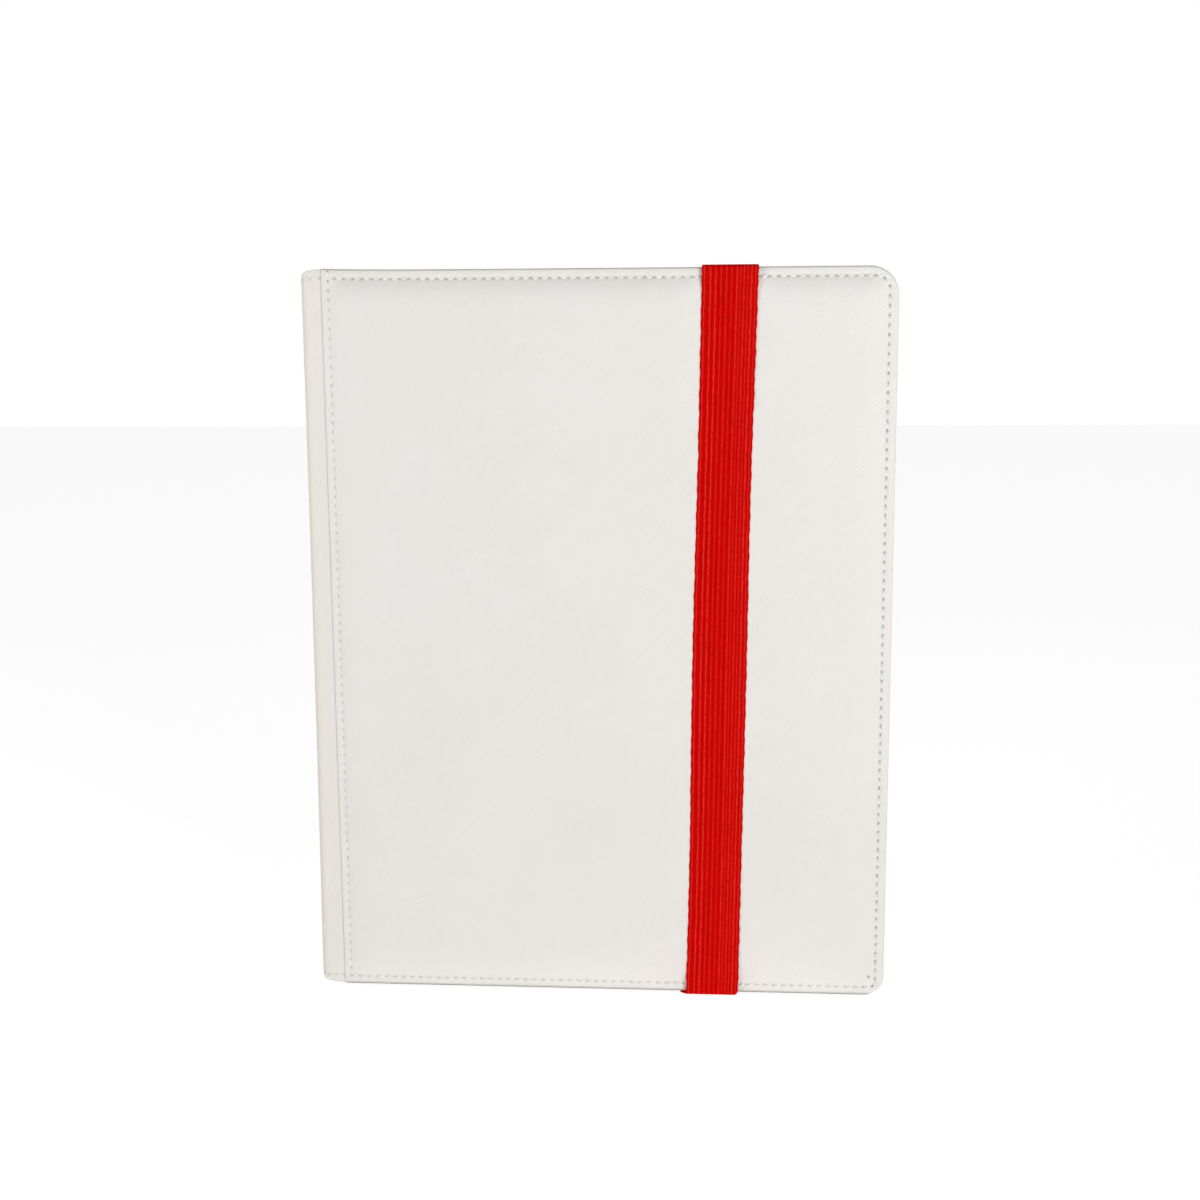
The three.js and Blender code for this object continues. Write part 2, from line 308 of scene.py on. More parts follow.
def cross_grain_group() -> bpy.types.NodeTree:
    """Embossed leatherette: two sets of fine slanted lines that cross, over a shallow pebble.

    Height is 0 in the creases and 1 on top, and Crease is the mask of the deepest lines.
    """
    inputs = {"Vector": "Vector", "Line period": "Float", "Pebble size": "Float"}
    tree, given, sink = new_group("Cross grain", inputs, {"Height": "Float", "Crease": "Float"})
    rate = tree.math("DIVIDE", math.tau / 20, given["Line period"])
    drift = tree.add("TexNoise", {"Vector": given["Vector"], "Scale": 500.0, "Detail": 1.0}).outputs[0]
    shift = tree.math("MULTIPLY", tree.math("SUBTRACT", drift, 0.5), 0.22 * MM)
    lines = []
    for direction in ((-0.66, 0.50, 0.66), (0.66, 0.50, 0.66)):
        reach = tree.add("VectorMath", {0: given["Vector"], 1: direction}, operation="DOT_PRODUCT")
        moved = tree.math("ADD", reach.outputs["Value"], shift)
        spot = tree.add("CombineXYZ", {0: moved, 1: 0.0, 2: 0.0}).outputs[0]
        lines.append(tree.add("TexWave", {"Vector": spot, "Scale": rate}, bands_direction="X").outputs[1])
    second = tree.math("ADD", tree.math("MULTIPLY", lines[1], 0.45), 0.55)
    ridge = tree.math("MINIMUM", tree.math("POWER", lines[0], 0.6), second)
    cells = {"Vector": given["Vector"], "Scale": tree.math("DIVIDE", 1.0, given["Pebble size"])}
    pebble = tree.add("TexVoronoi", cells, feature="SMOOTH_F1").outputs[0]
    height = tree.math("SUBTRACT", ridge, tree.math("MULTIPLY", pebble, 0.25))
    tree.tree.links.new(height, sink.inputs["Height"])
    tree.tree.links.new(tree.remap(ridge, 0.0, 0.45, 1.0, 0.0), sink.inputs["Crease"])
    return tree.tree


def soft_tint_group() -> bpy.types.NodeTree:
    """A colour that drifts slowly between two others, as dyed and moulded goods do."""
    inputs = {"Vector": "Vector", "First": "Color", "Second": "Color", "Patch size": "Float"}
    tree, given, sink = new_group("Soft tint", inputs, {"Colour": "Color", "Drift": "Float"})
    scale = tree.math("DIVIDE", 1.0, given["Patch size"])
    cloud = {"Vector": given["Vector"], "Scale": scale, "Detail": 3.0, "Roughness": 0.55}
    drift = tree.remap(tree.add("TexNoise", cloud).outputs[0], 0.32, 0.68, 0.0, 1.0)
    tree.tree.links.new(tree.mix(drift, given["First"], given["Second"]), sink.inputs["Colour"])
    tree.tree.links.new(drift, sink.inputs["Drift"])
    return tree.tree


def fine_weave_group() -> bpy.types.NodeTree:
    """Two sets of threads that cross at right angles along the first two axes of the given vector."""
    inputs = {"Vector": "Vector", "Across period": "Float", "Along period": "Float"}
    tree, given, sink = new_group("Fine weave", inputs, {"Height": "Float"})
    parts = tree.add("SeparateXYZ", {0: given["Vector"]})
    sines = []
    for axis, period in ((0, "Across period"), (1, "Along period")):
        turns = tree.math("DIVIDE", parts.outputs[axis], given[period])
        sines.append(tree.math("SINE", tree.math("MULTIPLY", turns, math.tau)))
    crossed = tree.math("MULTIPLY", sines[0], sines[1])
    tree.tree.links.new(tree.remap(crossed, -1.0, 1.0, 0.0, 1.0), sink.inputs["Height"])
    return tree.tree


class Effects:
    """The node groups that the finishes share, each built once."""

    def __init__(self) -> None:
        """Builds the groups."""
        self.grain = cross_grain_group()
        self.tint = soft_tint_group()
        self.weave = fine_weave_group()

    def place(self, tree: Tree, group: bpy.types.NodeTree, inputs: dict) -> bpy.types.Node:
        """Puts one of the groups into a material's tree with that material's own values."""
        node = tree.add("Group", node_tree=group)
        for key, value in inputs.items():
            if isinstance(value, bpy.types.NodeSocket):
                tree.tree.links.new(value, node.inputs[key])
            else:
                node.inputs[key].default_value = value
        return node

    def two_tone(
        self, tree: Tree, place: bpy.types.NodeSocket, colours: tuple[Colour, Colour], patch: float
    ) -> bpy.types.Node:
        """Two colours that drift one into the other, over patches of about the given size."""
        first, second = colours
        inputs = {"Vector": place, "First": rgba(first), "Second": rgba(second), "Patch size": patch}
        return self.place(tree, self.tint, inputs)

    def woven(
        self, tree: Tree, place: bpy.types.NodeSocket, across: float, along: float
    ) -> bpy.types.Node:
        """Crossing threads with the given periods."""
        inputs = {"Vector": place, "Across period": across, "Along period": along}
        return self.place(tree, self.weave, inputs)


def start_material(name: str) -> tuple[bpy.types.Material, Tree, bpy.types.NodeSocket]:
    """A new material with its tree and the object coordinates."""
    material = bpy.data.materials.new(name)
    material.use_nodes = True
    tree = Tree(material.node_tree)
    place = tree.add("TexCoord").outputs["Object"]
    return material, tree, place


def close_material(tree: Tree, shader: bpy.types.Node, height: bpy.types.NodeSocket, depth: float) -> None:
    """Bumps the shader with a height and joins it to the material's output.

    Args:
        tree: The material's tree.
        shader: Its Principled shader.
        height: A height from 0 to 1.
        depth: What a height of 1 measures, in metres.
    """
    bump = tree.add("Bump", {"Height": height, "Strength": 1.0, "Distance": depth})
    tree.tree.links.new(bump.outputs["Normal"], shader.inputs["Normal"])
    tree.add("OutputMaterial", {"Surface": shader.outputs[0]})


# ---- Finishes ---------------------------------------------------------------------------------------


@dataclass(frozen=True)
class Leatherette:
    """White embossed leatherette, creamier where it is bent or worn, with painted shade in its needle holes
    and grain creases, along its tail edge and in the crease at the spine's seam.
    """

    colour: Colour = (0.775, 0.752, 0.720)
    second: Colour = (0.790, 0.772, 0.748)
    worn: Colour = (0.780, 0.735, 0.625)
    # Painted shade colour: the near black painted into needle holes, along the tail edge and into the seam
    # crease beside the spine.
    hole: Colour = (0.075, 0.062, 0.050)
    line_period: float = 1.35 * MM
    pebble: float = 0.8 * MM
    emboss: float = 0.09 * MM

    def material(self, effects: Effects) -> bpy.types.Material:
        """The finish as a material; it reads the piece's "needle" and "worn" marks, the first being painted
        shade.
        """
        material, tree, place = start_material("Cover leatherette")
        grain_inputs = {"Vector": place, "Line period": self.line_period, "Pebble size": self.pebble}
        grain = effects.place(tree, effects.grain, grain_inputs)
        tint = effects.two_tone(tree, place, (self.colour, self.second), 60 * MM)
        needle = tree.add("Attribute", attribute_name="needle").outputs["Fac"]
        worn = tree.add("Attribute", attribute_name="worn").outputs["Fac"]
        # Painted shade: the grain's deepest creases are darkened to 72 per cent of the leather's own colour.
        grain_crease_share = tree.math("MULTIPLY", grain.outputs["Crease"], 0.16)
        grain_crease_shade = tuple(0.72 * part for part in self.colour)
        skin = tree.mix(grain_crease_share, tint.outputs["Colour"], rgba(grain_crease_shade))
        aged = tree.mix(worn, skin, rgba(self.worn))
        # Painted shade: needle holes, the tail edge line and the seam crease are mixed towards the painted
        # shade colour.
        colour = tree.mix(needle, aged, rgba(self.hole))
        gloss = tree.remap(grain.outputs["Height"], 0.0, 1.0, 0.62, 0.46)
        rough = tree.math("ADD", gloss, tree.math("MULTIPLY", tint.outputs["Drift"], 0.05))
        shader_inputs = {"Base Color": colour, "Roughness": rough, "IOR": 1.46, "Specular IOR Level": 0.42}
        shader = tree.add("BsdfPrincipled", shader_inputs)
        close_material(tree, shader, grain.outputs["Height"], self.emboss)
        return material


@dataclass(frozen=True)
class RibbedElastic:
    """Red knitted elastic: rows of small stitches on lengthwise ribs, with painted shade between the ribs and
    in the knit's pores, and pale strand lines that are partly painted glint.
    """

    colour: Colour = (0.600, 0.0006, 0.0004)
    second: Colour = (0.650, 0.0012, 0.0008)
    # Painted shade colour for the grooves between ribs and the knit's pores.
    shade: Colour = (0.360, 0.0008, 0.0006)
    lint: Colour = (0.850, 0.045, 0.030)
    stitch: float = 0.85 * MM
    yarn: float = 0.52 * MM

    def material(self, effects: Effects) -> bpy.types.Material:
        """The finish as a material; it reads the strap's own surface coordinates and its "rib" mark."""
        material, tree, place = start_material("Closure elastic")
        surface = tree.add("UVMap", uv_map="Surface").outputs[0]
        weave = effects.woven(tree, surface, self.yarn, self.stitch)
        tint = effects.two_tone(tree, place, (self.colour, self.second), 9 * MM)
        rib = tree.add("Attribute", attribute_name="rib").outputs["Fac"]
        # Painted shade between the ribs.
        low = tree.math("MULTIPLY", tree.math("SUBTRACT", 1.0, rib), 0.20)
        ribbed = tree.mix(low, tint.outputs["Colour"], rgba(self.shade))
        pore_shade = tree.remap(weave.outputs["Height"], 0.0, 0.35, 0.18, 0.0)
        knitted = tree.mix(pore_shade, ribbed, rgba(self.shade))
        fluff = tree.add("TexNoise", {"Vector": place, "Scale": 1500.0, "Detail": 3.0}).outputs[0]
        lint = tree.remap(fluff, 0.62, 0.76, 0.0, 0.24)
        fuzzy = tree.mix(lint, knitted, rgba(self.lint))
        # Pale lines along the strap: partly its own pale strands, partly painted glint on the ribs, in the
        # lint colour.
        strand = tree.add("Attribute", attribute_name="strand").outputs["Fac"]
        gaps = tree.add("TexNoise", {"Vector": place, "Scale": 700.0}).outputs[0]
        broken = tree.remap(gaps, 0.35, 0.60, 0.40, 1.0)
        colour = tree.mix(tree.math("MULTIPLY", strand, broken), fuzzy, rgba(self.lint))
        height = tree.math("ADD", weave.outputs["Height"], tree.math("MULTIPLY", fluff, 0.5))
        rough = tree.remap(fluff, 0.3, 0.7, 0.82, 0.95)
        shader_inputs = {"Base Color": colour, "Roughness": rough, "Specular IOR Level": 0.02}
        shader = tree.add("BsdfPrincipled", shader_inputs)
        close_material(tree, shader, height, 0.16 * MM)
        return material


@dataclass(frozen=True)
class SewingThread:
    """White twisted polyester thread."""

    colour: Colour = (0.900, 0.895, 0.875)
    second: Colour = (0.860, 0.850, 0.800)
    twist: float = 0.55 * MM

    def material(self, effects: Effects) -> bpy.types.Material:
        """The finish as a material."""
        material, tree, place = start_material("Sewing thread")
        weave = effects.woven(tree, place, self.twist, self.twist)
        tint = effects.two_tone(tree, place, (self.colour, self.second), 5 * MM)
        rough = tree.remap(weave.outputs["Height"], 0.0, 1.0, 0.75, 0.55)
        shader_inputs = {"Base Color": tint.outputs["Colour"], "Roughness": rough, "Sheen Weight": 0.15}
        shader = tree.add("BsdfPrincipled", shader_inputs)
        close_material(tree, shader, weave.outputs["Height"], 0.08 * MM)
        return material


@dataclass(frozen=True)
class NappedCloth:
    """Black microfibre cloth with a short brushed nap, or with a plain tape weave."""

    name: str = "Lining microfibre"
    colour: Colour = (0.0135, 0.0135, 0.0150)
    second: Colour = (0.0240, 0.0240, 0.0260)
    yarn: float = 0.45 * MM
    nap: float = 0.10 * MM

    def material(self, effects: Effects) -> bpy.types.Material:
        """The finish as a material."""
        material, tree, place = start_material(self.name)
        turned = tree.add("Mapping", {"Vector": place, "Rotation": (math.pi / 2, 0.0, 0.6)}).outputs[0]
        weave = effects.woven(tree, turned, self.yarn, self.yarn)
        tint = effects.two_tone(tree, place, (self.colour, self.second), 35 * MM)
        fibre = tree.add("TexNoise", {"Vector": place, "Scale": 2600.0, "Detail": 4.0}).outputs[0]
        lift = tree.remap(fibre, 0.45, 0.75, 0.0, 0.5)
        pale = tuple(2.6 * part for part in self.second)
        colour = tree.mix(lift, tint.outputs["Colour"], rgba(pale))
        height = tree.math("ADD", tree.math("MULTIPLY", weave.outputs["Height"], 0.4), fibre)
        rough = tree.remap(fibre, 0.3, 0.7, 0.86, 0.98)
        shader_inputs = {"Base Color": colour, "Roughness": rough, "Specular IOR Level": 0.2}
        shader = tree.add("BsdfPrincipled", {**shader_inputs, "Sheen Weight": 0.35, "Sheen Roughness": 0.45})
        close_material(tree, shader, height, self.nap)
        return material


@dataclass(frozen=True)
class CoreSheet:
    """Black polypropylene sheet with a fine moulded frost."""

    colour: Colour = (0.0085, 0.0085, 0.0095)
    second: Colour = (0.0130, 0.0130, 0.0145)

    def material(self, effects: Effects) -> bpy.types.Material:
        """The finish as a material."""
        material, tree, place = start_material("Leaf core")
        tint = effects.two_tone(tree, place, (self.colour, self.second), 40 * MM)
        frost = tree.add("TexNoise", {"Vector": place, "Scale": 3200.0, "Detail": 2.0}).outputs[0]
        rough = tree.remap(frost, 0.3, 0.7, 0.42, 0.58)
        shader_inputs = {"Base Color": tint.outputs["Colour"], "Roughness": rough, "IOR": 1.49}
        shader = tree.add("BsdfPrincipled", shader_inputs)
        close_material(tree, shader, frost, 0.02 * MM)
        return material


@dataclass(frozen=True)
class ClearFilm:
    """Clear glossy pocket film, frosted where it is welded; its grey-blue colour at partial cover is painted
    sheen, a faint milky layer over the core beside its real gloss.
    """

    # Painted sheen: a grey-blue colour at partial cover, laid over the black core as a milky layer.
    colour: Colour = (0.30, 0.32, 0.34)
    second: Colour = (0.36, 0.38, 0.40)
    clear_cover: float = 0.24
    weld_cover: float = 0.36
    knurl: float = 1.1 * MM

    def material(self, effects: Effects) -> bpy.types.Material:
        """The finish as a material; it reads the film's "weld" mark."""
        material, tree, place = start_material("Pocket film")
        weld = tree.add("Attribute", attribute_name="weld").outputs["Fac"]
        ripple = tree.add("TexNoise", {"Vector": place, "Scale": 26.0, "Detail": 1.0}).outputs[0]
        turned = tree.add("Mapping", {"Vector": place, "Rotation": (math.pi / 2, 0.0, 0.0)}).outputs[0]
        knurl = effects.woven(tree, turned, self.knurl, self.knurl)
        tint = effects.two_tone(tree, place, (self.colour, self.second), 50 * MM)
        cover = tree.remap(weld, 0.0, 1.0, self.clear_cover, self.weld_cover)
        rough = tree.remap(weld, 0.0, 1.0, 0.09, 0.38)
        pressed = tree.math("MULTIPLY", knurl.outputs["Height"], tree.math("MULTIPLY", weld, 0.05))
        height = tree.math("ADD", ripple, pressed)
        shader_inputs = {"Base Color": tint.outputs["Colour"], "Roughness": rough, "Alpha": cover}
        gloss = {"IOR": 1.49, "Specular IOR Level": 1.0, "Coat Weight": 0.0}
        shader = tree.add("BsdfPrincipled", {**shader_inputs, **gloss})
        close_material(tree, shader, height, 0.8 * MM)
        return material


@dataclass(frozen=True)
class PlainLayer:
    """A hidden layer of a cover: grey board with fibres, or open-cell foam."""

    name: str
    colour: Colour
    second: Colour
    cell: float

    def material(self, effects: Effects) -> bpy.types.Material:
        """The finish as a material."""
        material, tree, place = start_material(self.name)
        tint = effects.two_tone(tree, place, (self.colour, self.second), 12 * MM)
        cells = tree.add("TexVoronoi", {"Vector": place, "Scale": 1 / self.cell}).outputs[0]
        rough = tree.remap(cells, 0.0, 1.0, 0.85, 0.98)
        shader = tree.add("BsdfPrincipled", {"Base Color": tint.outputs["Colour"], "Roughness": rough})
        close_material(tree, shader, cells, 0.15 * self.cell)
        return material


class Finishes:
    """Every finish of the binder, made once."""

    def __init__(self) -> None:
        """Builds the materials."""
        effects = Effects()
        self.leather = Leatherette().material(effects)
        self.elastic = RibbedElastic().material(effects)
        self.thread = SewingThread().material(effects)
        self.cloth = NappedCloth().material(effects)
        tape = NappedCloth("Binding tape", (0.011, 0.011, 0.012), (0.018, 0.018, 0.020), 0.8 * MM, 0.16 * MM)
        self.tape = tape.material(effects)
        self.core = CoreSheet().material(effects)
        self.film = ClearFilm().material(effects)
        board = PlainLayer("Cover board", (0.28, 0.26, 0.23), (0.22, 0.20, 0.18), 0.8 * MM)
        self.board = board.material(effects)
        foam = PlainLayer("Cover foam", (0.86, 0.84, 0.78), (0.78, 0.75, 0.68), 0.6 * MM)
        self.foam = foam.material(effects)


# ---- Stitching --------------------------------------------------------------------------------------


@dataclass(frozen=True)
class Seam:
    """One run of evenly spaced needle holes, with a thread dash from each hole to the next."""

    holes: Points
    dashes: Points
    along: Points
    outward: Points
    full: np.ndarray


@dataclass
class DashThread:
    """The shape of one visible stitch: a short plump dash whose ends dip into its needle holes."""

    length: float = 2.7 * MM
    width: float = 0.86 * MM
    height: float = 0.66 * MM
    rise: float = 0.30 * MM
    dip: float = 0.50 * MM
    slant: float = math.radians(34)
    stations: int = 7
    sides: int = 8

    def build(self, name: str, seams: Sequence[Seam], material: bpy.types.Material) -> bpy.types.Object:
        """Makes every dash of some seams as one piece.

        A dash is an ellipse carried along a short line. At share a of the way from its middle to its end,
        the ellipse shrinks with the square root of 1 minus a squared, and sinks with the fourth power of a.
        A seam's "full" makes its dashes slimmer, lower and straighter where it is less than 1.

        Args:
            name: The piece's name.
            seams: The seams to thread.
            material: The thread's finish.

        Returns:
            The threads' object.
        """
        centre = np.concatenate([seam.dashes for seam in seams])[:, None, None, :]
        along = np.concatenate([seam.along for seam in seams])
        outward = np.concatenate([seam.outward for seam in seams])
        beside = np.cross(outward, along)
        full = np.concatenate([seam.full for seam in seams])[:, None]
        slanted = along * np.cos(self.slant * full) + beside * np.sin(self.slant * full)
        crosswise = np.cross(outward, slanted)
        share = np.linspace(-1, 1, self.stations)[None, :, None, None]
        turn = (np.arange(self.sides) / self.sides * math.tau)[None, None, :, None]
        plump = np.sqrt(1 - 0.94 * share**2) * full[:, None, None]
        lift = self.rise * (1 - share**2) * full[:, None, None] - self.dip * share**4
        points = centre + slanted[:, None, None, :] * share * self.length / 2
        points = points + crosswise[:, None, None, :] * plump * np.cos(turn) * self.width / 2
        points = points + outward[:, None, None, :] * (plump * np.sin(turn) * self.height / 2 + lift)
        one = grid_quads(self.stations, self.sides, closed=True)
        count, size = len(points), self.stations * self.sides
        starts = (np.arange(count) * size)[:, None, None]
        faces = (one[None] + starts).reshape(-1, 4).tolist()
        near = np.arange(self.sides)
        ends = np.stack([near, size - self.sides + near])
        faces += (ends[None] + starts).reshape(-1, self.sides).tolist()
        return make_piece(name, points, faces, material)


def space_evenly(line: Points, pitch: float, closed: bool) -> tuple[Points, Points, Points]:
    """Needle holes along a line, and a dash between each hole and the next.

    Args:
        line: Points of the line, in three dimensions; a closed line doesn't repeat its first point.
        pitch: The wanted distance between holes; it is changed a little so that a whole number fits.
        closed: Whether the line closes on itself.

    Returns:
        The holes, the middles of the dashes, and the line's direction at each dash.
    """
    path = np.concatenate([line, line[:1]]) if closed else line
    distance = np.concatenate([[0.0], np.cumsum(np.linalg.norm(np.diff(path, axis=0), axis=1))])
    count = max(2, round(distance[-1] / pitch))
    stops = np.linspace(0, distance[-1], count + 1)
    middles = (stops[:-1] + stops[1:]) / 2

    def at(where: np.ndarray) -> Points:
        """Points at some distances along the path."""
        return np.stack([np.interp(where, distance, path[:, axis]) for axis in range(3)], axis=1)

    step = pitch / 8
    along = at(np.minimum(middles + step, distance[-1])) - at(np.maximum(middles - step, 0.0))
    along /= np.linalg.norm(along, axis=1, keepdims=True)
    holes = at(stops[:-1] if closed else stops)
    return holes, at(middles), along


def hole_depths(places: Points, seam: Seam, radius: float, stretch: float = 0.5) -> np.ndarray:
    """How deep in a needle hole each place is, from 0 to 1, as a bell curve about the nearest hole.

    A hole is drawn out along its seam: the square of a distance loses the share "stretch" of the square of
    its part along the seam.

    Args:
        places: The places.
        seam: The seam with the holes.
        radius: The bell curve's width.
        stretch: How much a hole is drawn out, from 0 for a round hole towards 1.

    Returns:
        The share of the full depth at each place.
    """
    nearest = np.full(len(places), 1.0)
    spare = max(0, len(seam.holes) - len(seam.along))
    along = np.concatenate([seam.along, np.tile(seam.along[-1:], (spare, 1))])
    for part in np.array_split(np.arange(len(along)), max(1, len(along) // 40)):
        gaps = places[:, None, :] - seam.holes[part][None, :, :]
        ahead = (gaps * along[part][None, :, :]).sum(-1)
        nearest = np.minimum(nearest, ((gaps**2).sum(-1) - stretch * ahead**2).min(1))
    return bell(np.sqrt(np.maximum(nearest, 0)), radius)


# ---- Cover panels -----------------------------------------------------------------------------------


class Side(Enum):
    """Which cover: the sign of its outward direction along Y."""

    FRONT = -1
    BACK = 1

    @property
    def label(self) -> str:
        """The side's word in the names of bodies, nodes and pieces."""
        return self.name.lower()


@dataclass(frozen=True)
class PanelOutline:
    """A cover's outline in x and z: round at the fore-edge, nearly square at the seam beside the spine."""

    left: float
    right: float
    low: float
    high: float
    head_radius: float = 13 * MM
    tail_radius: float = 9.5 * MM
    tighten: float = 1.6
    seam_radius: float = 1.6 * MM
    spacing: float = 0.66 * MM

    @property
    def half_width(self) -> float:
        """The inset at which the outline closes up to a line."""
        return (self.right - self.left) / 2

    def rings(self, insets: np.ndarray) -> Points:
        """The outline drawn in by each inset, as closed rings that all have the same number of points.

        Each side is cut evenly between the ends of its corner arcs. A fore-edge arc's radius shrinks faster
        than the inset grows, by the factor "tighten", and the others shrink with it, until they are sharp.

        Args:
            insets: Distances in from the outline.

        Returns:
            x and z of each point, one ring after another.
        """
        inset = insets[:, None]
        fore = np.maximum(self.head_radius - self.tighten * inset, 0)
        foot = np.maximum(self.tail_radius - self.tighten * inset, 0)
        seam = np.maximum(self.seam_radius - inset, 0)
        left, right = self.left + inset, self.right - inset
        low, high = self.low + inset, self.high - inset
        wide = np.linspace(0, 1, round((self.right - self.left) / self.spacing), endpoint=False)
        tall = np.linspace(0, 1, round((self.high - self.low) / self.spacing), endpoint=False)
        quarter = math.pi / 2
        fore_turn = np.linspace(0, quarter, round(self.head_radius * quarter / self.spacing), endpoint=False)
        seam_turn = np.linspace(0, quarter, 5, endpoint=False)
        sides = (
            (left + seam + wide * (right - foot - left - seam), low + 0 * wide),
            (right - foot + foot * np.sin(fore_turn), low + foot - foot * np.cos(fore_turn)),
            (right + 0 * tall, low + foot + tall * (high - low - foot - fore)),
            (right - fore + fore * np.cos(fore_turn), high - fore + fore * np.sin(fore_turn)),
            (right - fore - wide * (right - fore - left - seam), high + 0 * wide),
            (left + seam - seam * np.sin(seam_turn), high - seam + seam * np.cos(seam_turn)),
            (left + 0 * tall, high - seam - tall * (high - low - 2 * seam)),
            (left + seam - seam * np.cos(seam_turn), low + seam - seam * np.sin(seam_turn)),
        )
        return np.stack([np.concatenate(part, axis=1) for part in zip(*sides)], axis=-1)


@dataclass
class Cover:
    """One cover: padded leather turned in round a board, an inside lining, and a seam round its edge."""

    side: Side
    seam_inset: float = 4.15 * MM
    stitch_pitch: float = 4.25 * MM
    hole_radius: float = 0.44 * MM
    hole_depth: float = 0.42 * MM
    groove_depth: float = 0.24 * MM
    groove_width: float = 0.80 * MM
    pillow: float = 2.3 * MM
    pillow_reach: float = 5.0 * MM
    corner_blend: float = 2.6 * MM
    margin_fall: float = 0.20 * MM
    spine_draw: float = 0.95 * MM
    draw_start: float = 0.4 * MM
    draw_fade: tuple[float, float] = (8 * MM, 22 * MM)
    slim: float = 0.45
    head_growth: float = 0.80 * MM
    tail_growth: float = 0.05 * MM
    growth_reach: float = 20 * MM
    head_stop: float = 0.7 * MM
    lining_sink: float = 0.12 * MM
    edge_wear: float = 0.30
    # width of the painted shade line along the tail edge
    tail_dirt: float = 0.85 * MM
    stray_hole: tuple[float, float] = (7.2 * MM, 9.6 * MM)
    edge_radius: float = 1.1 * MM
    proud: float = 0.40 * MM
    turn_in: float = 2.7 * MM
    lining_depth: float = 5.0 * MM
    lining_proud: float = 0.06 * MM
    pressed: float = 0.0
    label: str = field(init=False)
    outline: PanelOutline = field(init=False)
    outer: float = field(init=False)
    thickness: float = field(init=False)

    def __post_init__(self) -> None:
        """Reads the cover's place from the frame."""
        self.label = f"{self.side.label}_cover"
        low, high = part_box(f"{self.label}_skin")
        self.outline = PanelOutline(low.x, high.x, low.z - self.proud, high.z + self.proud)
        self.outer = low.y if self.side is Side.FRONT else high.y
        self.thickness = high.y - low.y

    def place(self, plane: Points, depth: np.ndarray) -> Points:
        """Points in the row frame.

        The margin beside the spine is narrower than the others, so x is drawn towards the spine there. Head
        and tail stand out a little towards the spine, by a growth that falls off by e over its reach.

        Args:
            plane: x and z of each point.
            depth: How far each point is below the cover's flat outer face.

        Returns:
            The points.
        """
        x, z = plane[..., 0], plane[..., 1]
        outline = self.outline
        away = x - outline.left
        drawn = smooth_step(away, self.draw_start, self.seam_inset) * (1 - smooth_step(away, *self.draw_fade))
        up = 2 * (z - outline.low) / (outline.high - outline.low) - 1
        most = np.where(up > 0, self.head_growth, -self.tail_growth)
        growth = most * up**6 * np.exp(-away / self.growth_reach)
        y = self.outer - self.side.value * depth
        return np.stack([x - self.spine_draw * drawn, y, z + growth], axis=-1)

    def soft_distance(self, plane: Points) -> np.ndarray:
        """A distance inside the outline that has no crease where two sides are equally near.

        It is minus the blend length times the logarithm of the sum, over the four sides, of e to the minus
        distance over the blend length.
        """
        outline, x, z = self.outline, plane[..., 0], plane[..., 1]
        sides = np.stack([x - outline.left, outline.right - x, z - outline.low, outline.high - z])
        nearest = sides.min(axis=0)
        return nearest - self.corner_blend * np.log(np.exp((nearest - sides) / self.corner_blend).sum(axis=0))

    def pad_height(self, plane: Points, inset: np.ndarray, strap: "Strap") -> np.ndarray:
        """How far the padded face stands above its flat height, without its needle holes.

        From the seam inwards the pad rises as 1 minus e to the minus r, where r is the 1.3rd power of the
        distance over its reach. A narrow bell curve sinks the seam, a low slope fills the margin outside it,
        long shallow waves keep the face from being a plane, and the strap presses the pad down under itself.
        """
        x, z = plane[..., 0], plane[..., 1]
        past = np.maximum(np.minimum(inset, self.soft_distance(plane)) - self.seam_inset, 0)
        rise = self.pillow * (1 - np.exp(-((past / self.pillow_reach) ** 1.3)))
        waves = np.sin(x / (31 * MM) + 1.1) * np.sin(z / (43 * MM))
        waves = waves + 0.6 * np.sin(z / (19 * MM) + x / (57 * MM))
        rise = rise * (1 + 0.035 * waves)
        aside = np.abs(x - strap.centre_at(z)) - strap.width / 2
        rise = rise * (1 - self.pressed * (1 - smooth_step(aside, -2.0 * MM, 12 * MM)))
        margin = self.margin_fall * np.clip(inset / self.seam_inset, 0, 1)
        return rise + margin - self.groove_depth * bell(inset - self.seam_inset, self.groove_width)

    def hole_shade(self, plane: Points) -> np.ndarray:
        """How dark the painted shade in a needle hole is at each place: most at the fore-edge, less at head
        and tail and spine.

        Each side's share falls off over a few millimetres, and slow sines make neighbours differ.
        """
        outline, x, z = self.outline, plane[..., 0], plane[..., 1]
        near = 7 * MM
        fore = 1 - smooth_step(outline.right - x, near, 2 * near)
        head = 1 - smooth_step(outline.high - z, near, 2 * near)
        tail = 1 - smooth_step(z - outline.low, near, 2 * near)
        beside = 1 - smooth_step(x - outline.left, near, 2 * near)
        shade = 0.34 + 0.42 * head + 0.16 * tail + 0.60 * fore + 0.06 * beside
        uneven = 0.5 + 0.5 * np.sin(x / (2.3 * MM) + z / (1.7 * MM)) * np.sin(x / (5.1 * MM) - z / (7.3 * MM))
        return np.clip(shade, 0, 1) * (0.72 + 0.28 * uneven)

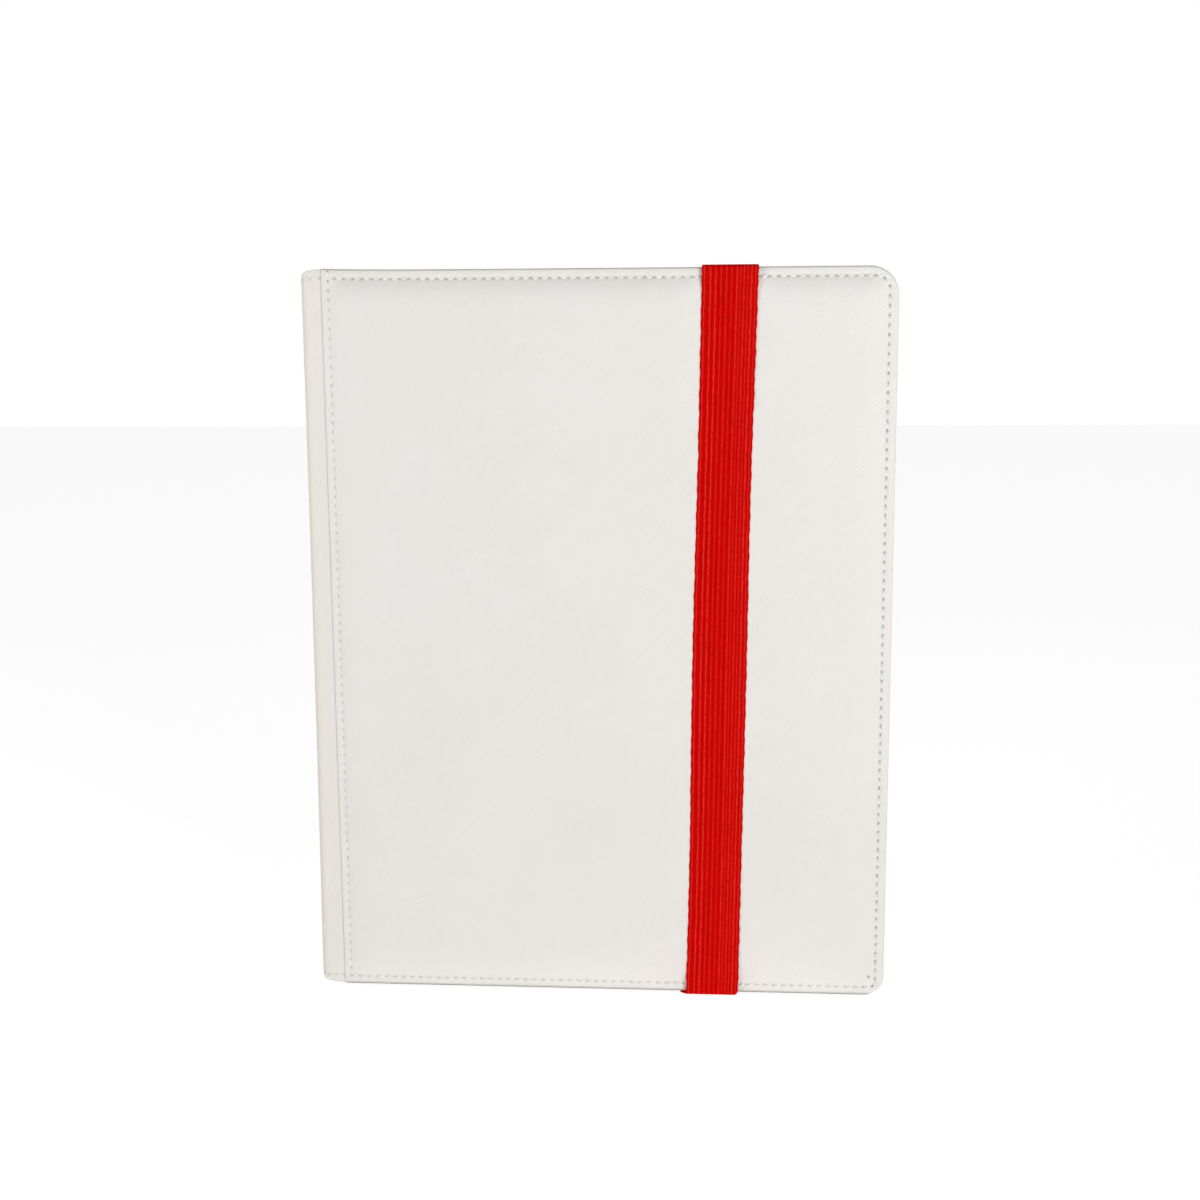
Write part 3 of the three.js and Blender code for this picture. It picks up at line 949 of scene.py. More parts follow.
    def seams(self, strap: "Strap") -> tuple[Seam, Seam]:
        """The seam as it shows on the leather outside, and on the lining inside.

        It goes round the cover once, and the line beside the spine runs on to the head by one stitch more.
        Beside the spine the thread is pulled nearly flat.
        """
        ring = self.outline.rings(np.array([self.seam_inset]))[0]
        found = []
        for depth, sign in ((None, self.side.value), (self.thickness + self.lining_proud, -self.side.value)):
            inset = np.full(len(ring), self.seam_inset)
            if depth is None:
                level = -self.pad_height(ring, inset, strap)
            else:
                level = np.full(len(ring), depth - self.lining_sink)
            line = self.place(ring, level)
            holes, dashes, along = space_evenly(line, self.stitch_pitch, closed=True)
            corner = np.argmin(np.hypot(ring[:, 0] - self.outline.left, ring[:, 1] - self.outline.high))
            first = line[corner]
            last = first + np.array([0.0, 0.0, self.seam_inset - self.head_stop])
            holes = np.concatenate([holes, [last]])
            dashes = np.concatenate([dashes, [(first + last) / 2]])
            along = np.concatenate([along, [[0.0, 0.0, 1.0]]])
            outward = np.tile(np.array([0.0, float(sign), 0.0]), (len(dashes), 1))
            slim = dashes[:, 0] - self.outline.left < self.seam_inset
            found.append(Seam(holes, dashes, along, outward, np.where(slim, self.slim, 1.0)))
        return found[0], found[1]

    def build_leather(self, strap: "Strap", outside: Seam, finish: bpy.types.Material) -> bpy.types.Object:
        """The leather: rings from the middle of the face, over the edge, to the turn-in and under the lining.

        Beside the seam the rings are drawn together, so that the edge is crisper there.

        Args:
            strap: The closure strap, which presses the pad.
            outside: The seam on the outer face.
            finish: The leather's material.

        Returns:
            The leather's object.
        """
        middle = self.outline.half_width
        face = np.array([
            middle / MM, 112, 92, 74, 58, 45, 35, 27, 21, 17, 14, 12, 10.4, 9.1, 8.0, 7.1, 6.4, 5.8,
            5.4, 5.05, 4.75, 4.5, 4.25, 4.0, 3.75, 3.5, 3.2, 2.8, 2.3, 1.9,
        ]) * MM
        turn = np.linspace(0, math.pi / 2, 7)
        radius = self.edge_radius
        shoulder = np.stack([radius * (1 - np.sin(turn)), radius * (1 - np.cos(turn))], axis=1)
        deep = self.thickness
        back_radius = 0.8 * MM
        heel = np.stack([back_radius * (1 - np.cos(turn)), deep - back_radius * (1 - np.sin(turn))], axis=1)
        tuck = np.array([[1.6 * MM, deep], [2.4 * MM, deep], [self.turn_in, deep - 0.2 * MM],
                         [self.turn_in + 0.3 * MM, self.lining_depth], [60 * MM, self.lining_depth],
                         [middle, self.lining_depth]])
        flat = np.stack([face, np.zeros(len(face))], axis=1)
        profile = np.concatenate([flat, shoulder, heel, tuck])
        plane = self.outline.rings(profile[:, 0])
        depth = np.broadcast_to(profile[:, 1, None], plane.shape[:2]).copy()
        crisp = 3 * MM
        share = np.clip((plane[..., 0] - self.outline.left) / crisp, 0, 1)
        plane[..., 0] += crisp * (share**1.8 - share)
        needle = np.zeros(depth.shape)
        shown = len(face) + 2
        depth[:shown] -= self.pad_height(plane[:shown], profile[:shown, :1], strap)
        close = [row for row in range(shown) if profile[row, 0] < self.stray_hole[0] + 1 * MM]
        spots = self.place(plane[close], np.zeros((len(close), plane.shape[1]))).reshape(-1, 3)
        outline, (aside, above) = self.outline, self.stray_hole
        stray = np.array([outline.right - aside, 0.0, outline.low + above])
        level_holes = np.concatenate([outside.holes, [stray]])
        level_holes[:, 1] = self.outer
        level_seam = replace(outside, holes=level_holes)
        found = hole_depths(spots, level_seam, self.hole_radius).reshape(len(close), -1)
        # Painted shade in the needle holes, besides their real depth on the next line.
        needle[close] = found * self.hole_shade(plane[close])
        depth[close] += self.hole_depth * found
        worn = bell(profile[:, 0], 1.4 * MM)[:, None] * np.ones(plane.shape[1]) * self.edge_wear
        outside_edge = (np.arange(len(profile)) >= len(face))[:, None]
        # Painted shade: a dark line along the tail edge, where the turned edge is in shadow.
        needle += outside_edge * bell(plane[..., 1] - outline.low, self.tail_dirt)
        marks = {"needle": needle, "worn": worn}
        faces = grid_quads(len(profile), plane.shape[1], closed=True).tolist()
        return make_piece(f"{self.label}_leather", self.place(plane, depth), faces, finish, marks)

    def build_lining(self, finish: bpy.types.Material) -> bpy.types.Object:
        """The inside lining: a cloth sheet with rounded edges that lies between the turned-in edges.

        It sinks along the seam as a bell curve of the distance from it.
        """
        middle = self.outline.half_width
        start = self.turn_in + 0.1 * MM
        top = self.thickness + self.lining_proud
        under = self.lining_depth + 0.02 * MM
        reach = np.array([6.2, 5.6, 5.2, 4.9, 4.6, 4.2, 3.9, 3.6, 3.3]) * MM
        upper = np.stack([reach, np.full(len(reach), top)], axis=1)
        upper[:, 1] -= 0.16 * MM * bell(reach - self.seam_inset, 0.6 * MM)
        profile = np.concatenate([
            [[middle, top], [70 * MM, top], [30 * MM, top], [12 * MM, top]], upper,
            [[start + 0.12 * MM, top - 0.03 * MM], [start, top - 0.15 * MM], [start, under + 0.1 * MM],
             [start + 0.15 * MM, under], [70 * MM, under], [middle, under]],
        ])
        plane = self.outline.rings(profile[:, 0])
        depth = np.broadcast_to(profile[:, 1, None], plane.shape[:2])
        faces = grid_quads(len(profile), plane.shape[1], closed=True).tolist()
        return make_piece(f"{self.label}_cloth", self.place(plane, depth), faces, finish)

    def build(self, strap: "Strap", finishes: Finishes) -> None:
        """Makes and dresses the cover's pieces, and puts them on the cover's body."""
        outside, inside = self.seams(strap)
        leather = self.build_leather(strap, outside, finishes.leather)
        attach(leather, self.label)
        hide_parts(f"{self.label}_skin")
        cloth = self.build_lining(finishes.cloth)
        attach(cloth, self.label)
        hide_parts(f"{self.label}_lining")
        threads = DashThread().build(f"{self.label}_threads", [outside, inside], finishes.thread)
        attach(threads, self.label)
        for layer, finish in (("board", finishes.board), ("foam", finishes.foam)):
            paint(f"{self.label}_{layer}", finish)
        report(leather, cloth, threads)


def paint(node: str, finish: bpy.types.Material) -> None:
    """Gives a CAD node that stays a finish of its own."""
    materials = frame["nodes"][node].data.materials
    materials.clear()
    materials.append(finish)


def report(*made: bpy.types.Object) -> None:
    """Logs each new piece with its number of faces."""
    for piece in made:
        LOG.info("%s: %d faces", piece.name, len(piece.data.polygons))


# ---- Closure strap ----------------------------------------------------------------------------------


@dataclass
class Strap:
    """The ribbed elastic strap: over the front cover, round head and tail, and into the back cover.
    """

    ribs: int = 16
    rib_height: float = 0.12 * MM
    thickness: float = 0.95 * MM
    stand_off: float = 1.25 * MM
    corner_radius: float = 1.2 * MM
    lean: float = math.radians(1.1)
    edge_wave: float = 0.28 * MM
    flare: float = 2.8 * MM
    corner_round: float = 1.1 * MM
    sewn_share: float = 0.10
    free_share: float = 0.05
    # Places across the strap and strengths of its pale lines, which are partly painted glint.
    strands: tuple[tuple[float, float], ...] = (
        (-0.90, 0.7), (-0.69, 1.0), (-0.50, 1.0), (-0.31, 0.5), (-0.12, 0.6), (0.06, 0.4), (0.25, 0.8),
        (0.37, 0.4), (0.50, 0.7), (0.63, 0.5), (0.76, 1.0), (0.90, 0.6))
    step: float = 1.5 * MM
    centre: float = field(init=False)
    middle: float = field(init=False)
    width: float = field(init=False)

    def __post_init__(self) -> None:
        """Reads the strap's place from the frame."""
        self.low, self.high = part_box("elastic_band")
        self.middle = (self.low.z + self.high.z) / 2
        self.centre = (self.low.x + self.high.x) / 2
        drift = math.tan(self.lean) * (self.high.z - self.low.z)
        self.width = self.high.x - self.low.x - drift

    def centre_at(self, z: np.ndarray) -> np.ndarray:
        """The strap's centre line: x in proportion to the height above the middle."""
        return self.centre + math.tan(self.lean) * (z - self.middle)

    def path(self) -> Points:
        """The strap's centre line in y and z, from its upper end inside the back cover to its lower end."""
        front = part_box("front_cover_skin")[0]
        back_low, back_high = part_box("back_cover_lining")
        half = self.thickness / 2
        inside = back_high.y + 0.10 * MM + half
        outside = front.y - self.stand_off - half
        head = self.high.z - half
        tail = self.low.z + half
        tuck = 24 * MM
        corners = (
            (inside, head - tuck), (inside, head), (outside, head),
            (outside, tail), (inside, tail), (inside, tail + tuck),
        )
        radii = (self.corner_radius,) * (len(corners) - 2)
        return rounded_path(corners, radii, self.step)

    def build(self, finishes: Finishes) -> None:
        """Makes the strap.

        A section is carried along the path. Its two faces are rows of half-round ribs, the root of the
        sine's size, and its ends are half circles. The edges drift in and out by slow sines.
        """
        path = self.path()
        distance, left = path_frame(path)
        across = np.linspace(-1, 1, self.ribs * 8 + 1)
        rib = np.abs(np.sin((across + 1) / 2 * self.ribs * math.pi)) ** 0.6
        thin = self.thickness / 2 - self.rib_height
        round_edge = np.sqrt(np.clip(1 - np.clip((np.abs(across) - 0.955) / 0.045, 0, 1) ** 2, 0.02, 1))
        swell = (thin + self.rib_height * rib) * round_edge
        offset = np.concatenate([swell, -swell[::-1][1:-1]])
        breadth = np.concatenate([across, across[::-1][1:-1]])
        marks = np.concatenate([rib, rib[::-1][1:-1]])
        wobble = np.sin(distance / (0.98 * MM)) * 0.45 + np.sin(distance / (2.9 * MM)) * 0.3
        wobble = wobble + np.sin(distance / (31 * MM)) * 0.6
        half_width = self.width / 2 + self.edge_wave * wobble
        y = path[:, 0, None] + left[:, 0, None] * offset
        z = path[:, 1, None] + left[:, 1, None] * offset
        sway = 0.22 * MM * np.sin(distance / (47 * MM) + 0.6)[:, None] - 0.3 * MM
        under = smooth_step(path[:, 0], path[:, 0].min() + 0.2 * MM, path[:, 0].min() + 3 * MM)
        below = under * (path[:, 1] < self.middle)
        x = self.centre_at(path[:, 1])[:, None] + sway + half_width[:, None] * breadth
        turned = bell(path[:, 1] - self.low.z, 1.3 * MM) * (path[:, 0] < path[:, 0].min() + 3 * MM)
        rounded = self.corner_round * turned[:, None] * np.clip(breadth, 0, 1) ** 6
        x = x - self.flare * below[:, None] - rounded
        points = np.stack([x, y, z], axis=-1)
        rows, columns = points.shape[:2]
        sideways = np.broadcast_to(breadth * self.width / 2, (rows, columns))
        lengthways = np.broadcast_to(distance[:, None], (rows, columns))
        uv = np.stack([sideways, lengthways], axis=-1)
        faces = tube_faces(rows, columns)
        # Pale lines at the listed places: partly real strands, partly painted glint.
        strand_glint = sum(bell(breadth - at, 0.022) * share for at, share in self.strands)
        ring_marks = {"rib": marks, "strand": strand_glint}
        all_marks = {key: np.broadcast_to(ring, (rows, columns)) for key, ring in ring_marks.items()}
        strap = make_piece("elastic_strap", points, faces, finishes.elastic, all_marks, uv)
        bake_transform(strap)
        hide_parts("elastic_band")
        report(strap)


# ---- Spine ------------------------------------------------------------------------------------------


@dataclass
class Spine:
    """The spine's leather wrap and its inside cloth, each in two halves, one towards each cover's hinge."""

    corner_radius: float = 3.4 * MM
    board_thickness: float = 2.6 * MM
    hinge_thickness: float = 0.95 * MM
    end_radius: float = 1.1 * MM
    tucked: float = 0.4 * MM
    splay: float = 1.75 * MM
    set_in: float = 0.60 * MM
    head_gain: float = 1.17
    cloth: float = 0.32 * MM
    stitch_inset: float = 2.6 * MM
    stitch_pitch: float = 4.12 * MM
    bend_start: float = 2.2 * MM
    bend_end: float = 7.4 * MM
    step: float = 0.42 * MM

    def __post_init__(self) -> None:
        """Reads the spine's place from the frame."""
        self.low, self.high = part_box("spine_skin")
        cover_low, cover_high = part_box("front_cover_skin")
        self.middle = (self.low.y + self.high.y) / 2
        self.seam = cover_low.x
        self.half = (self.high.y - self.low.y) / 2
        self.flat = self.half - self.corner_radius
        self.drop = cover_high.z + 0.35 * MM - self.high.z

    def wrap_path(self, side: Side) -> Points:
        """The leather's outer line in x and y, from the middle of the spine to just under a cover's seam.

        Its second point is very near its first, so that the shading of the end doesn't spread.
        """
        face = self.middle + side.value * self.half
        back = self.low.x + self.set_in
        corners = ((back, self.middle), (back, face), (self.seam + self.tucked, face))
        path = rounded_path(corners, (self.corner_radius,), self.step)
        second = path[0] + 0.05 * (path[1] - path[0])
        return np.insert(path, 1, second, axis=0)

    def rise(self, distance: np.ndarray) -> np.ndarray:
        """How far head and tail stand out past the spine's own, along the outer line.

        It is a quarter ellipse, from the start of the corner's bend to the seam.
        """
        share = np.clip((distance - self.flat) / (distance[-1] - self.flat), 0, 1)
        return self.drop * np.sqrt(1 - (1 - share) ** 2)

    def lean(self, distance: np.ndarray, height: np.ndarray) -> np.ndarray:
        """How far the leather stands out towards -X.

        It grows as the square of the share of the way down to the tail, and is nothing at the seam.
        """
        up = np.clip((height - self.low.z) / (self.high.z - self.low.z), 0, 1)
        return self.splay * (1 - up) ** 2 * (1 - smooth_step(distance, self.flat, distance[-1]))

    def head(self, rise: np.ndarray) -> np.ndarray:
        """The height of the leather's head edge: it stands out a little more than the tail edge."""
        return self.high.z + self.head_gain * rise

    def section(self, thickness: np.ndarray, rise: np.ndarray) -> tuple[np.ndarray, np.ndarray]:
        """A rounded rectangle for each path point, in depth below the outer line and height.

        Args:
            thickness: The sheet's thickness at each path point.
            rise: How far its head and tail stand out past the spine's own.

        Returns:
            Depths and heights, one ring for each path point.
        """
        deep = thickness[:, None]
        radius = np.minimum(self.end_radius, 0.47 * deep)
        low, high = self.low.z - rise[:, None], self.head(rise)[:, None]
        near = np.concatenate([np.linspace(0, 0.07, 19), np.linspace(0.07, 1, 24)[1:]])
        half = (high - low) / 2 - radius
        climb = np.concatenate([low + radius + half * near, high - radius - half * near[::-1][1:]], axis=1)
        turn = np.linspace(0, math.pi / 2, 7)[1:-1]
        bend_in = radius * (1 - np.sin(turn))
        bend_up = radius * (1 - np.cos(turn))
        depth = (
            0 * climb, bend_in[:, ::-1], deep - bend_in,
            deep + 0 * climb, deep - bend_in[:, ::-1], bend_in,
        )
        height = (
            climb, high - bend_up[:, ::-1], high - bend_up,
            climb[:, ::-1], low + bend_up[:, ::-1], low + bend_up,
        )
        return np.concatenate(depth, axis=1), np.concatenate(height, axis=1)

    def stitch_depth(self, distance: np.ndarray) -> np.ndarray:
        """How far the stitches are from head and tail: least over the spine, most at the seam."""
        return self.stitch_inset + 1.45 * MM * smooth_step(distance, self.flat, distance[-1])

    def wrap_points(self, side: Side) -> tuple[Points, np.ndarray, np.ndarray]:
        """Points of one half of the leather wrap.

        The sheet is as thick as leather and board over the spine and thins to leather alone at the hinge.
        It dips a little in the hinge, and along the stitched lines near its head and tail.

        Args:
            side: Which half.

        Returns:
            The points, the wear on each, and the painted shade in the crease beside the cover.
        """
        path = self.wrap_path(side)
        distance, left = path_frame(path)
        outward = left if side is Side.BACK else -left
        bend_length = self.corner_radius * math.pi / 2
        thin = smooth_step(distance, self.flat, self.flat + bend_length + 1 * MM)
        thickness = self.board_thickness + (self.hinge_thickness - self.board_thickness) * thin
        rise = self.rise(distance)
        depth, height = self.section(thickness, rise)
        groove = 0.26 * MM * bell(distance - distance[-1] + 4.6 * MM, 1.8 * MM)[:, None]
        puffed = 0.45 * MM * np.cos(np.clip(distance / self.half, 0, 1) * math.pi / 2)[:, None]
        ends = np.minimum(height - self.low.z + rise[:, None], self.head(rise)[:, None] - height)
        outer = np.clip(1 - depth / thickness[:, None] * 2, 0, 1)
        line = 0.24 * MM * bell(ends - self.stitch_depth(distance)[:, None], 0.75 * MM)
        swell = outer * (puffed * (1 - np.exp(-ends / (5 * MM))) - groove - line)
        shift = swell - depth
        x = path[:, 0, None] + outward[:, 0, None] * shift
        x = x - outer * self.lean(distance[:, None], height)
        y = path[:, 1, None] + outward[:, 1, None] * shift
        wear = 0.10 + 0.45 * bell(distance - self.flat - bend_length / 2, 3.6 * MM)
        # Painted shade: a thin dark line in the crease where the wrap goes under the cover's seam.
        seam_crease_shade = 0.20 * bell(distance - distance[-1] + self.tucked, 0.36 * MM)
        whole = np.ones(height.shape)
        return np.stack([x, y, height], axis=-1), wear[:, None] * whole, seam_crease_shade[:, None] * whole

    def stitch_lines(self, side: Side) -> list[Seam]:
        """The seams across one half of the spine, near its head and its tail."""
        found = []
        path = self.wrap_path(side)
        distance, _ = path_frame(path)
        rise, inset = self.rise(distance), self.stitch_depth(distance)
        for z in (self.low.z - rise + inset, self.head(rise) - inset):
            shifted = path[:, 0] - self.lean(distance, z)
            line = np.column_stack([shifted, path[:, 1], z])[:-3]
            holes, dashes, along = space_evenly(line, self.stitch_pitch, closed=False)
            outward = side.value * np.column_stack([-along[:, 1], along[:, 0], np.zeros(len(along))])
            found.append(Seam(holes, dashes, along, outward, np.ones(len(dashes))))
        return found

    def bend(self, piece: bpy.types.Object) -> None:
        """Bakes a piece's transform into its points; it does not bend."""
        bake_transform(piece)

    def build_wrap(self, side: Side, finishes: Finishes) -> None:
        """One half of the leather wrap with its stitches."""
        label = side.label
        points, wear, seam_crease_shade = self.wrap_points(side)
        rows, columns = points.shape[:2]
        lines = self.stitch_lines(side)
        spots = points.reshape(-1, 3)
        pricked = np.maximum(*[hole_depths(spots, line, 0.5 * MM) for line in lines])
        # Painted shade in the needle holes and in the seam crease.
        needle = 0.45 * pricked.reshape(rows, columns) + seam_crease_shade
        faces = tube_faces(rows, columns)
        marks = {"needle": needle, "worn": wear}
        wrap = make_piece(f"spine_{label}_leather", points, faces, finishes.leather, marks)
        self.bend(wrap)
        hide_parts(f"{label}_cover_hinge_strip", *(["spine_skin"] if side is Side.FRONT else []))
        dash = DashThread(2.6 * MM, 0.8 * MM, 0.5 * MM, rise=0.10 * MM, slant=math.radians(12))
        threads = dash.build(f"spine_{label}_threads", lines, finishes.thread)
        self.bend(threads)
        report(wrap, threads)

    def build_cloth(self, side: Side, finishes: Finishes) -> None:
        """One half of the inside cloth: along the spine, into the hinge, and up to the cover's lining.

        A thin sheet is carried along a rounded path in x and y; it is a rounded rectangle in section.
        """
        label = side.label
        cover_low, cover_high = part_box(f"{label}_cover_skin")
        inner = cover_high.y if side is Side.FRONT else cover_low.y
        sign = side.value
        back = self.low.x + self.board_thickness + 0.05 * MM
        channel = self.middle + sign * (self.half - self.hinge_thickness - 0.12 * MM)
        wall = self.seam - 0.42 * MM
        rim = inner + sign * 0.25 * MM
        corners = ((back, self.middle), (back, channel), (wall, channel), (wall, rim))
        path = rounded_path(corners, (1.5 * MM, 1.2 * MM), self.step)
        distance, left = path_frame(path)
        inward = -left if side is Side.BACK else left
        depth, height = self.section(np.full(len(path), self.cloth), np.full(len(path), -1.2 * MM))
        x = path[:, 0, None] + inward[:, 0, None] * depth
        y = path[:, 1, None] + inward[:, 1, None] * depth
        points = np.stack([x, y, height], axis=-1)
        rows, columns = points.shape[:2]
        faces = tube_faces(rows, columns)
        cloth = make_piece(f"gutter_{label}_cloth", points, faces, finishes.cloth)
        self.bend(cloth)
        if side is Side.FRONT:
            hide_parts("spine_lining")
        report(cloth)

    def build_block(self, finishes: Finishes) -> None:
        """The sewn block that holds the leaves: a taped stack with a groove between neighbouring leaves.

        Its section in x and y is a rectangle whose open face is a row of shallow arches, one for each leaf,
        and its ends are rounded off.
        """
        low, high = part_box("page_binding_block")
        leaves = len(leaf_names())
        across = np.linspace(low.y, high.y, leaves * 10 + 1)
        phase = (across - low.y) / (high.y - low.y) * leaves
        arch = np.abs(np.sin(phase * math.pi)) ** 0.5
        face = np.stack([high.x - 0.55 * MM * (1 - arch), across], axis=1)
        rear = np.stack([np.full(24, low.x), np.linspace(high.y, low.y, 24)], axis=1)
        ring = np.concatenate([face, rear])
        centre = np.array([(low.x + high.x) / 2, (low.y + high.y) / 2])
        turn = np.linspace(0, math.pi / 2, 6)
        ease = 0.7 * MM
        narrowed = 1 - ease / (high.x - low.x) * (1 - np.sin(turn))
        tail = np.stack([narrowed, low.z + ease * (1 - np.cos(turn))], axis=1)
        head = np.stack([tail[::-1, 0], low.z + high.z - tail[::-1, 1]], axis=1)
        levels = np.linspace(low.z + ease, high.z - ease, 40)[1:-1]
        shape = np.concatenate([tail, np.stack([np.ones(len(levels)), levels], axis=1), head])
        plane = centre + (ring - centre)[None] * shape[:, 0, None, None]
        height = np.broadcast_to(shape[:, 1, None], plane.shape[:2])
        points = np.concatenate([plane, height[..., None]], axis=-1)
        rows, columns = points.shape[:2]
        faces = tube_faces(rows, columns)
        block = make_piece("page_block", points, faces, finishes.tape)
        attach(block, "spine")
        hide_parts("page_binding_block")
        report(block)

    def build(self, finishes: Finishes) -> None:
        """Makes and dresses all the pieces of the spine."""
        for side in Side:
            self.build_wrap(side, finishes)
            self.build_cloth(side, finishes)
        self.build_block(finishes)
        paint("spine_board", finishes.board)


# ---- Leaves -----------------------------------------------------------------------------------------


def leaf_names() -> list[str]:
    """The leaves' bodies, front to back."""
    return sorted(name for name in frame["bodies"] if name.startswith("leaf_"))


@dataclass
class Leaf:
    """One leaf: a flat black core that starts inside the binding block, with welded clear pockets on both
    faces.
    """

    name: str
    columns: int = 3
    rows: int = 3
    weld: float = 5 * MM
    slit: float = 0.7 * MM
    slit_margin: float = 3.2 * MM
    corner_radius: float = 4 * MM
    sunk: float = 0.9 * MM

    def __post_init__(self) -> None:
        """Reads the leaf's place from the frame."""
        self.core_low, self.core_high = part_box(f"{self.name}_core")
        self.film_low, self.film_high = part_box(f"{self.name}_front_film")
        self.block_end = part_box("page_binding_block")[1].x
        self.middle = (self.core_low.y + self.core_high.y) / 2

    def corner_pull(self, x: np.ndarray, z: np.ndarray) -> np.ndarray:
        """How far x moves back to round the two fore-edge corners, as a circle's drop at each height."""
        radius = self.corner_radius
        past = np.clip(np.maximum(self.core_low.z + radius - z, z - self.core_high.z + radius), 0, radius)
        drop = radius - np.sqrt(np.maximum(radius**2 - past**2, 0))
        share = np.clip((x - self.core_high.x + 3 * radius) / (3 * radius), 0, 1)
        return drop * share

    def heights(self) -> np.ndarray:
        """Levels from the leaf's tail to its head, closer together near the ends and at the welds."""
        low, high = self.core_low.z, self.core_high.z
        ends = np.array([0, 0.3, 0.8, 1.5, 2.4, 3.2, 4.0]) * MM
        pitch = (high - low - self.weld) / self.rows
        welds = low + self.weld / 2 + pitch * np.arange(self.rows + 1)[:, None]
        near = np.array([-4.5, -3.4, -2.6, -2.1, 0, 2.1, 2.6, 3.4, 4.5]) * MM
        places = np.concatenate([low + ends, high - ends, (welds + near).ravel(), np.linspace(low, high, 40)])
        return np.unique(np.round(places[(places >= low) & (places <= high)], 5))

    def build_core(self, finish: bpy.types.Material) -> bpy.types.Object:
        """The black sheet, from inside the binding block to the fore-edge, as a closed thin shell."""
        start = self.block_end - self.sunk
        gutter = np.linspace(start, self.core_low.x + 7 * MM, 18)
        rest = np.linspace(gutter[-1], self.core_high.x - 12 * MM, 14)[1:]
        edge = self.core_high.x - 12 * MM + 12 * MM * np.sin(np.linspace(0, math.pi / 2, 9))[1:]
        x, z = np.meshgrid(np.concatenate([gutter, rest, edge]), self.heights())
        x = x - self.corner_pull(x, z)
        half = (self.core_high.y - self.core_low.y) / 2
        return thin_shell(f"{self.name}_sheet", x, np.full(x.shape, self.middle), z, half, finish)

    def pocket_lines(self) -> tuple[np.ndarray, np.ndarray]:
        """The middles of the welds in x and in z."""
        low, high = self.film_low, self.film_high
        across = np.linspace(low.x + self.weld / 2, high.x - self.weld / 2, self.columns + 1)
        up = np.linspace(low.z + self.weld / 2, high.z - self.weld / 2, self.rows + 1)
        return across, up

    def build_film(self, side: Side, finish: bpy.types.Material) -> bpy.types.Object:
        """One face's clear pockets, with an open slit on the gutter side of each.

        The film lies on the core along its welds and stands off it elsewhere: its distance rises with a
        smooth step from the nearest weld, and each pocket swells as the product of two sines.
        """
        low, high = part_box(f"{self.name}_{side.label}_film")
        across, up = self.pocket_lines()
        near = np.array([-5.5, -4.0, -3.1, -2.5, -1.2, 0, 1.2, 2.5, 3.1, 4.0, 5.5]) * MM
        slits = across[:-1, None] + self.weld / 2 + np.array([1.0, 1.0 + self.slit / MM]) * MM
        even = np.linspace(low.x, high.x, 28)
        places = np.concatenate([(across[:, None] + near).ravel(), slits.ravel(), even])
        columns = np.unique(np.round(places[(places >= low.x) & (places <= high.x)], 5))
        x, z = np.meshgrid(columns, self.heights())
        off_x = np.abs(x[..., None] - across).min(-1) - self.weld / 2
        off_z = np.abs(z[..., None] - up).min(-1) - self.weld / 2
        clear = smooth_step(np.minimum(off_x, off_z), 0.0, 3.2 * MM)
        swell_x = np.sin((x - across[0]) / (across[1] - across[0]) * math.pi)
        swell_z = np.sin((z - up[0]) / (up[1] - up[0]) * math.pi)
        swell = np.abs(swell_x * swell_z)
        stand_off = abs((low.y + high.y) / 2 - self.middle)
        resting = (self.core_high.y - self.core_low.y) / 2 + 0.10 * MM
        away = resting + (stand_off - 0.1 * MM - resting) * clear + 0.12 * MM * swell * clear
        y = self.middle + side.value * away
        centre_x = (columns[:-1] + columns[1:]) / 2
        inside_slit = ((centre_x[:, None] > slits[:, 0]) & (centre_x[:, None] < slits[:, 1])).any(1)
        levels = (z[:-1, 0] + z[1:, 0]) / 2
        inside_row = (np.abs(levels[:, None] - up).min(1) - self.weld / 2) > self.slit_margin
        keep = ~(inside_row[:, None] & inside_slit[None, :])
        weld = 1 - smooth_step(np.minimum(off_x, off_z), -0.4 * MM, 0.5 * MM)
        x = x - self.corner_pull(x, z)
        label = side.label
        return thin_shell(f"{self.name}_{label}_pockets", x, y, z, 0.06 * MM, finish, keep, {"weld": weld})

    def build(self, finishes: Finishes) -> None:
        """Makes and dresses the leaf's three pieces."""
        core = self.build_core(finishes.core)
        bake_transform(core)
        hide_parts(f"{self.name}_core")
        for side in Side:
            film = self.build_film(side, finishes.film)
            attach(film, self.name)
            label = side.label
            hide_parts(f"{self.name}_{label}_film")
            report(film)
        report(core)


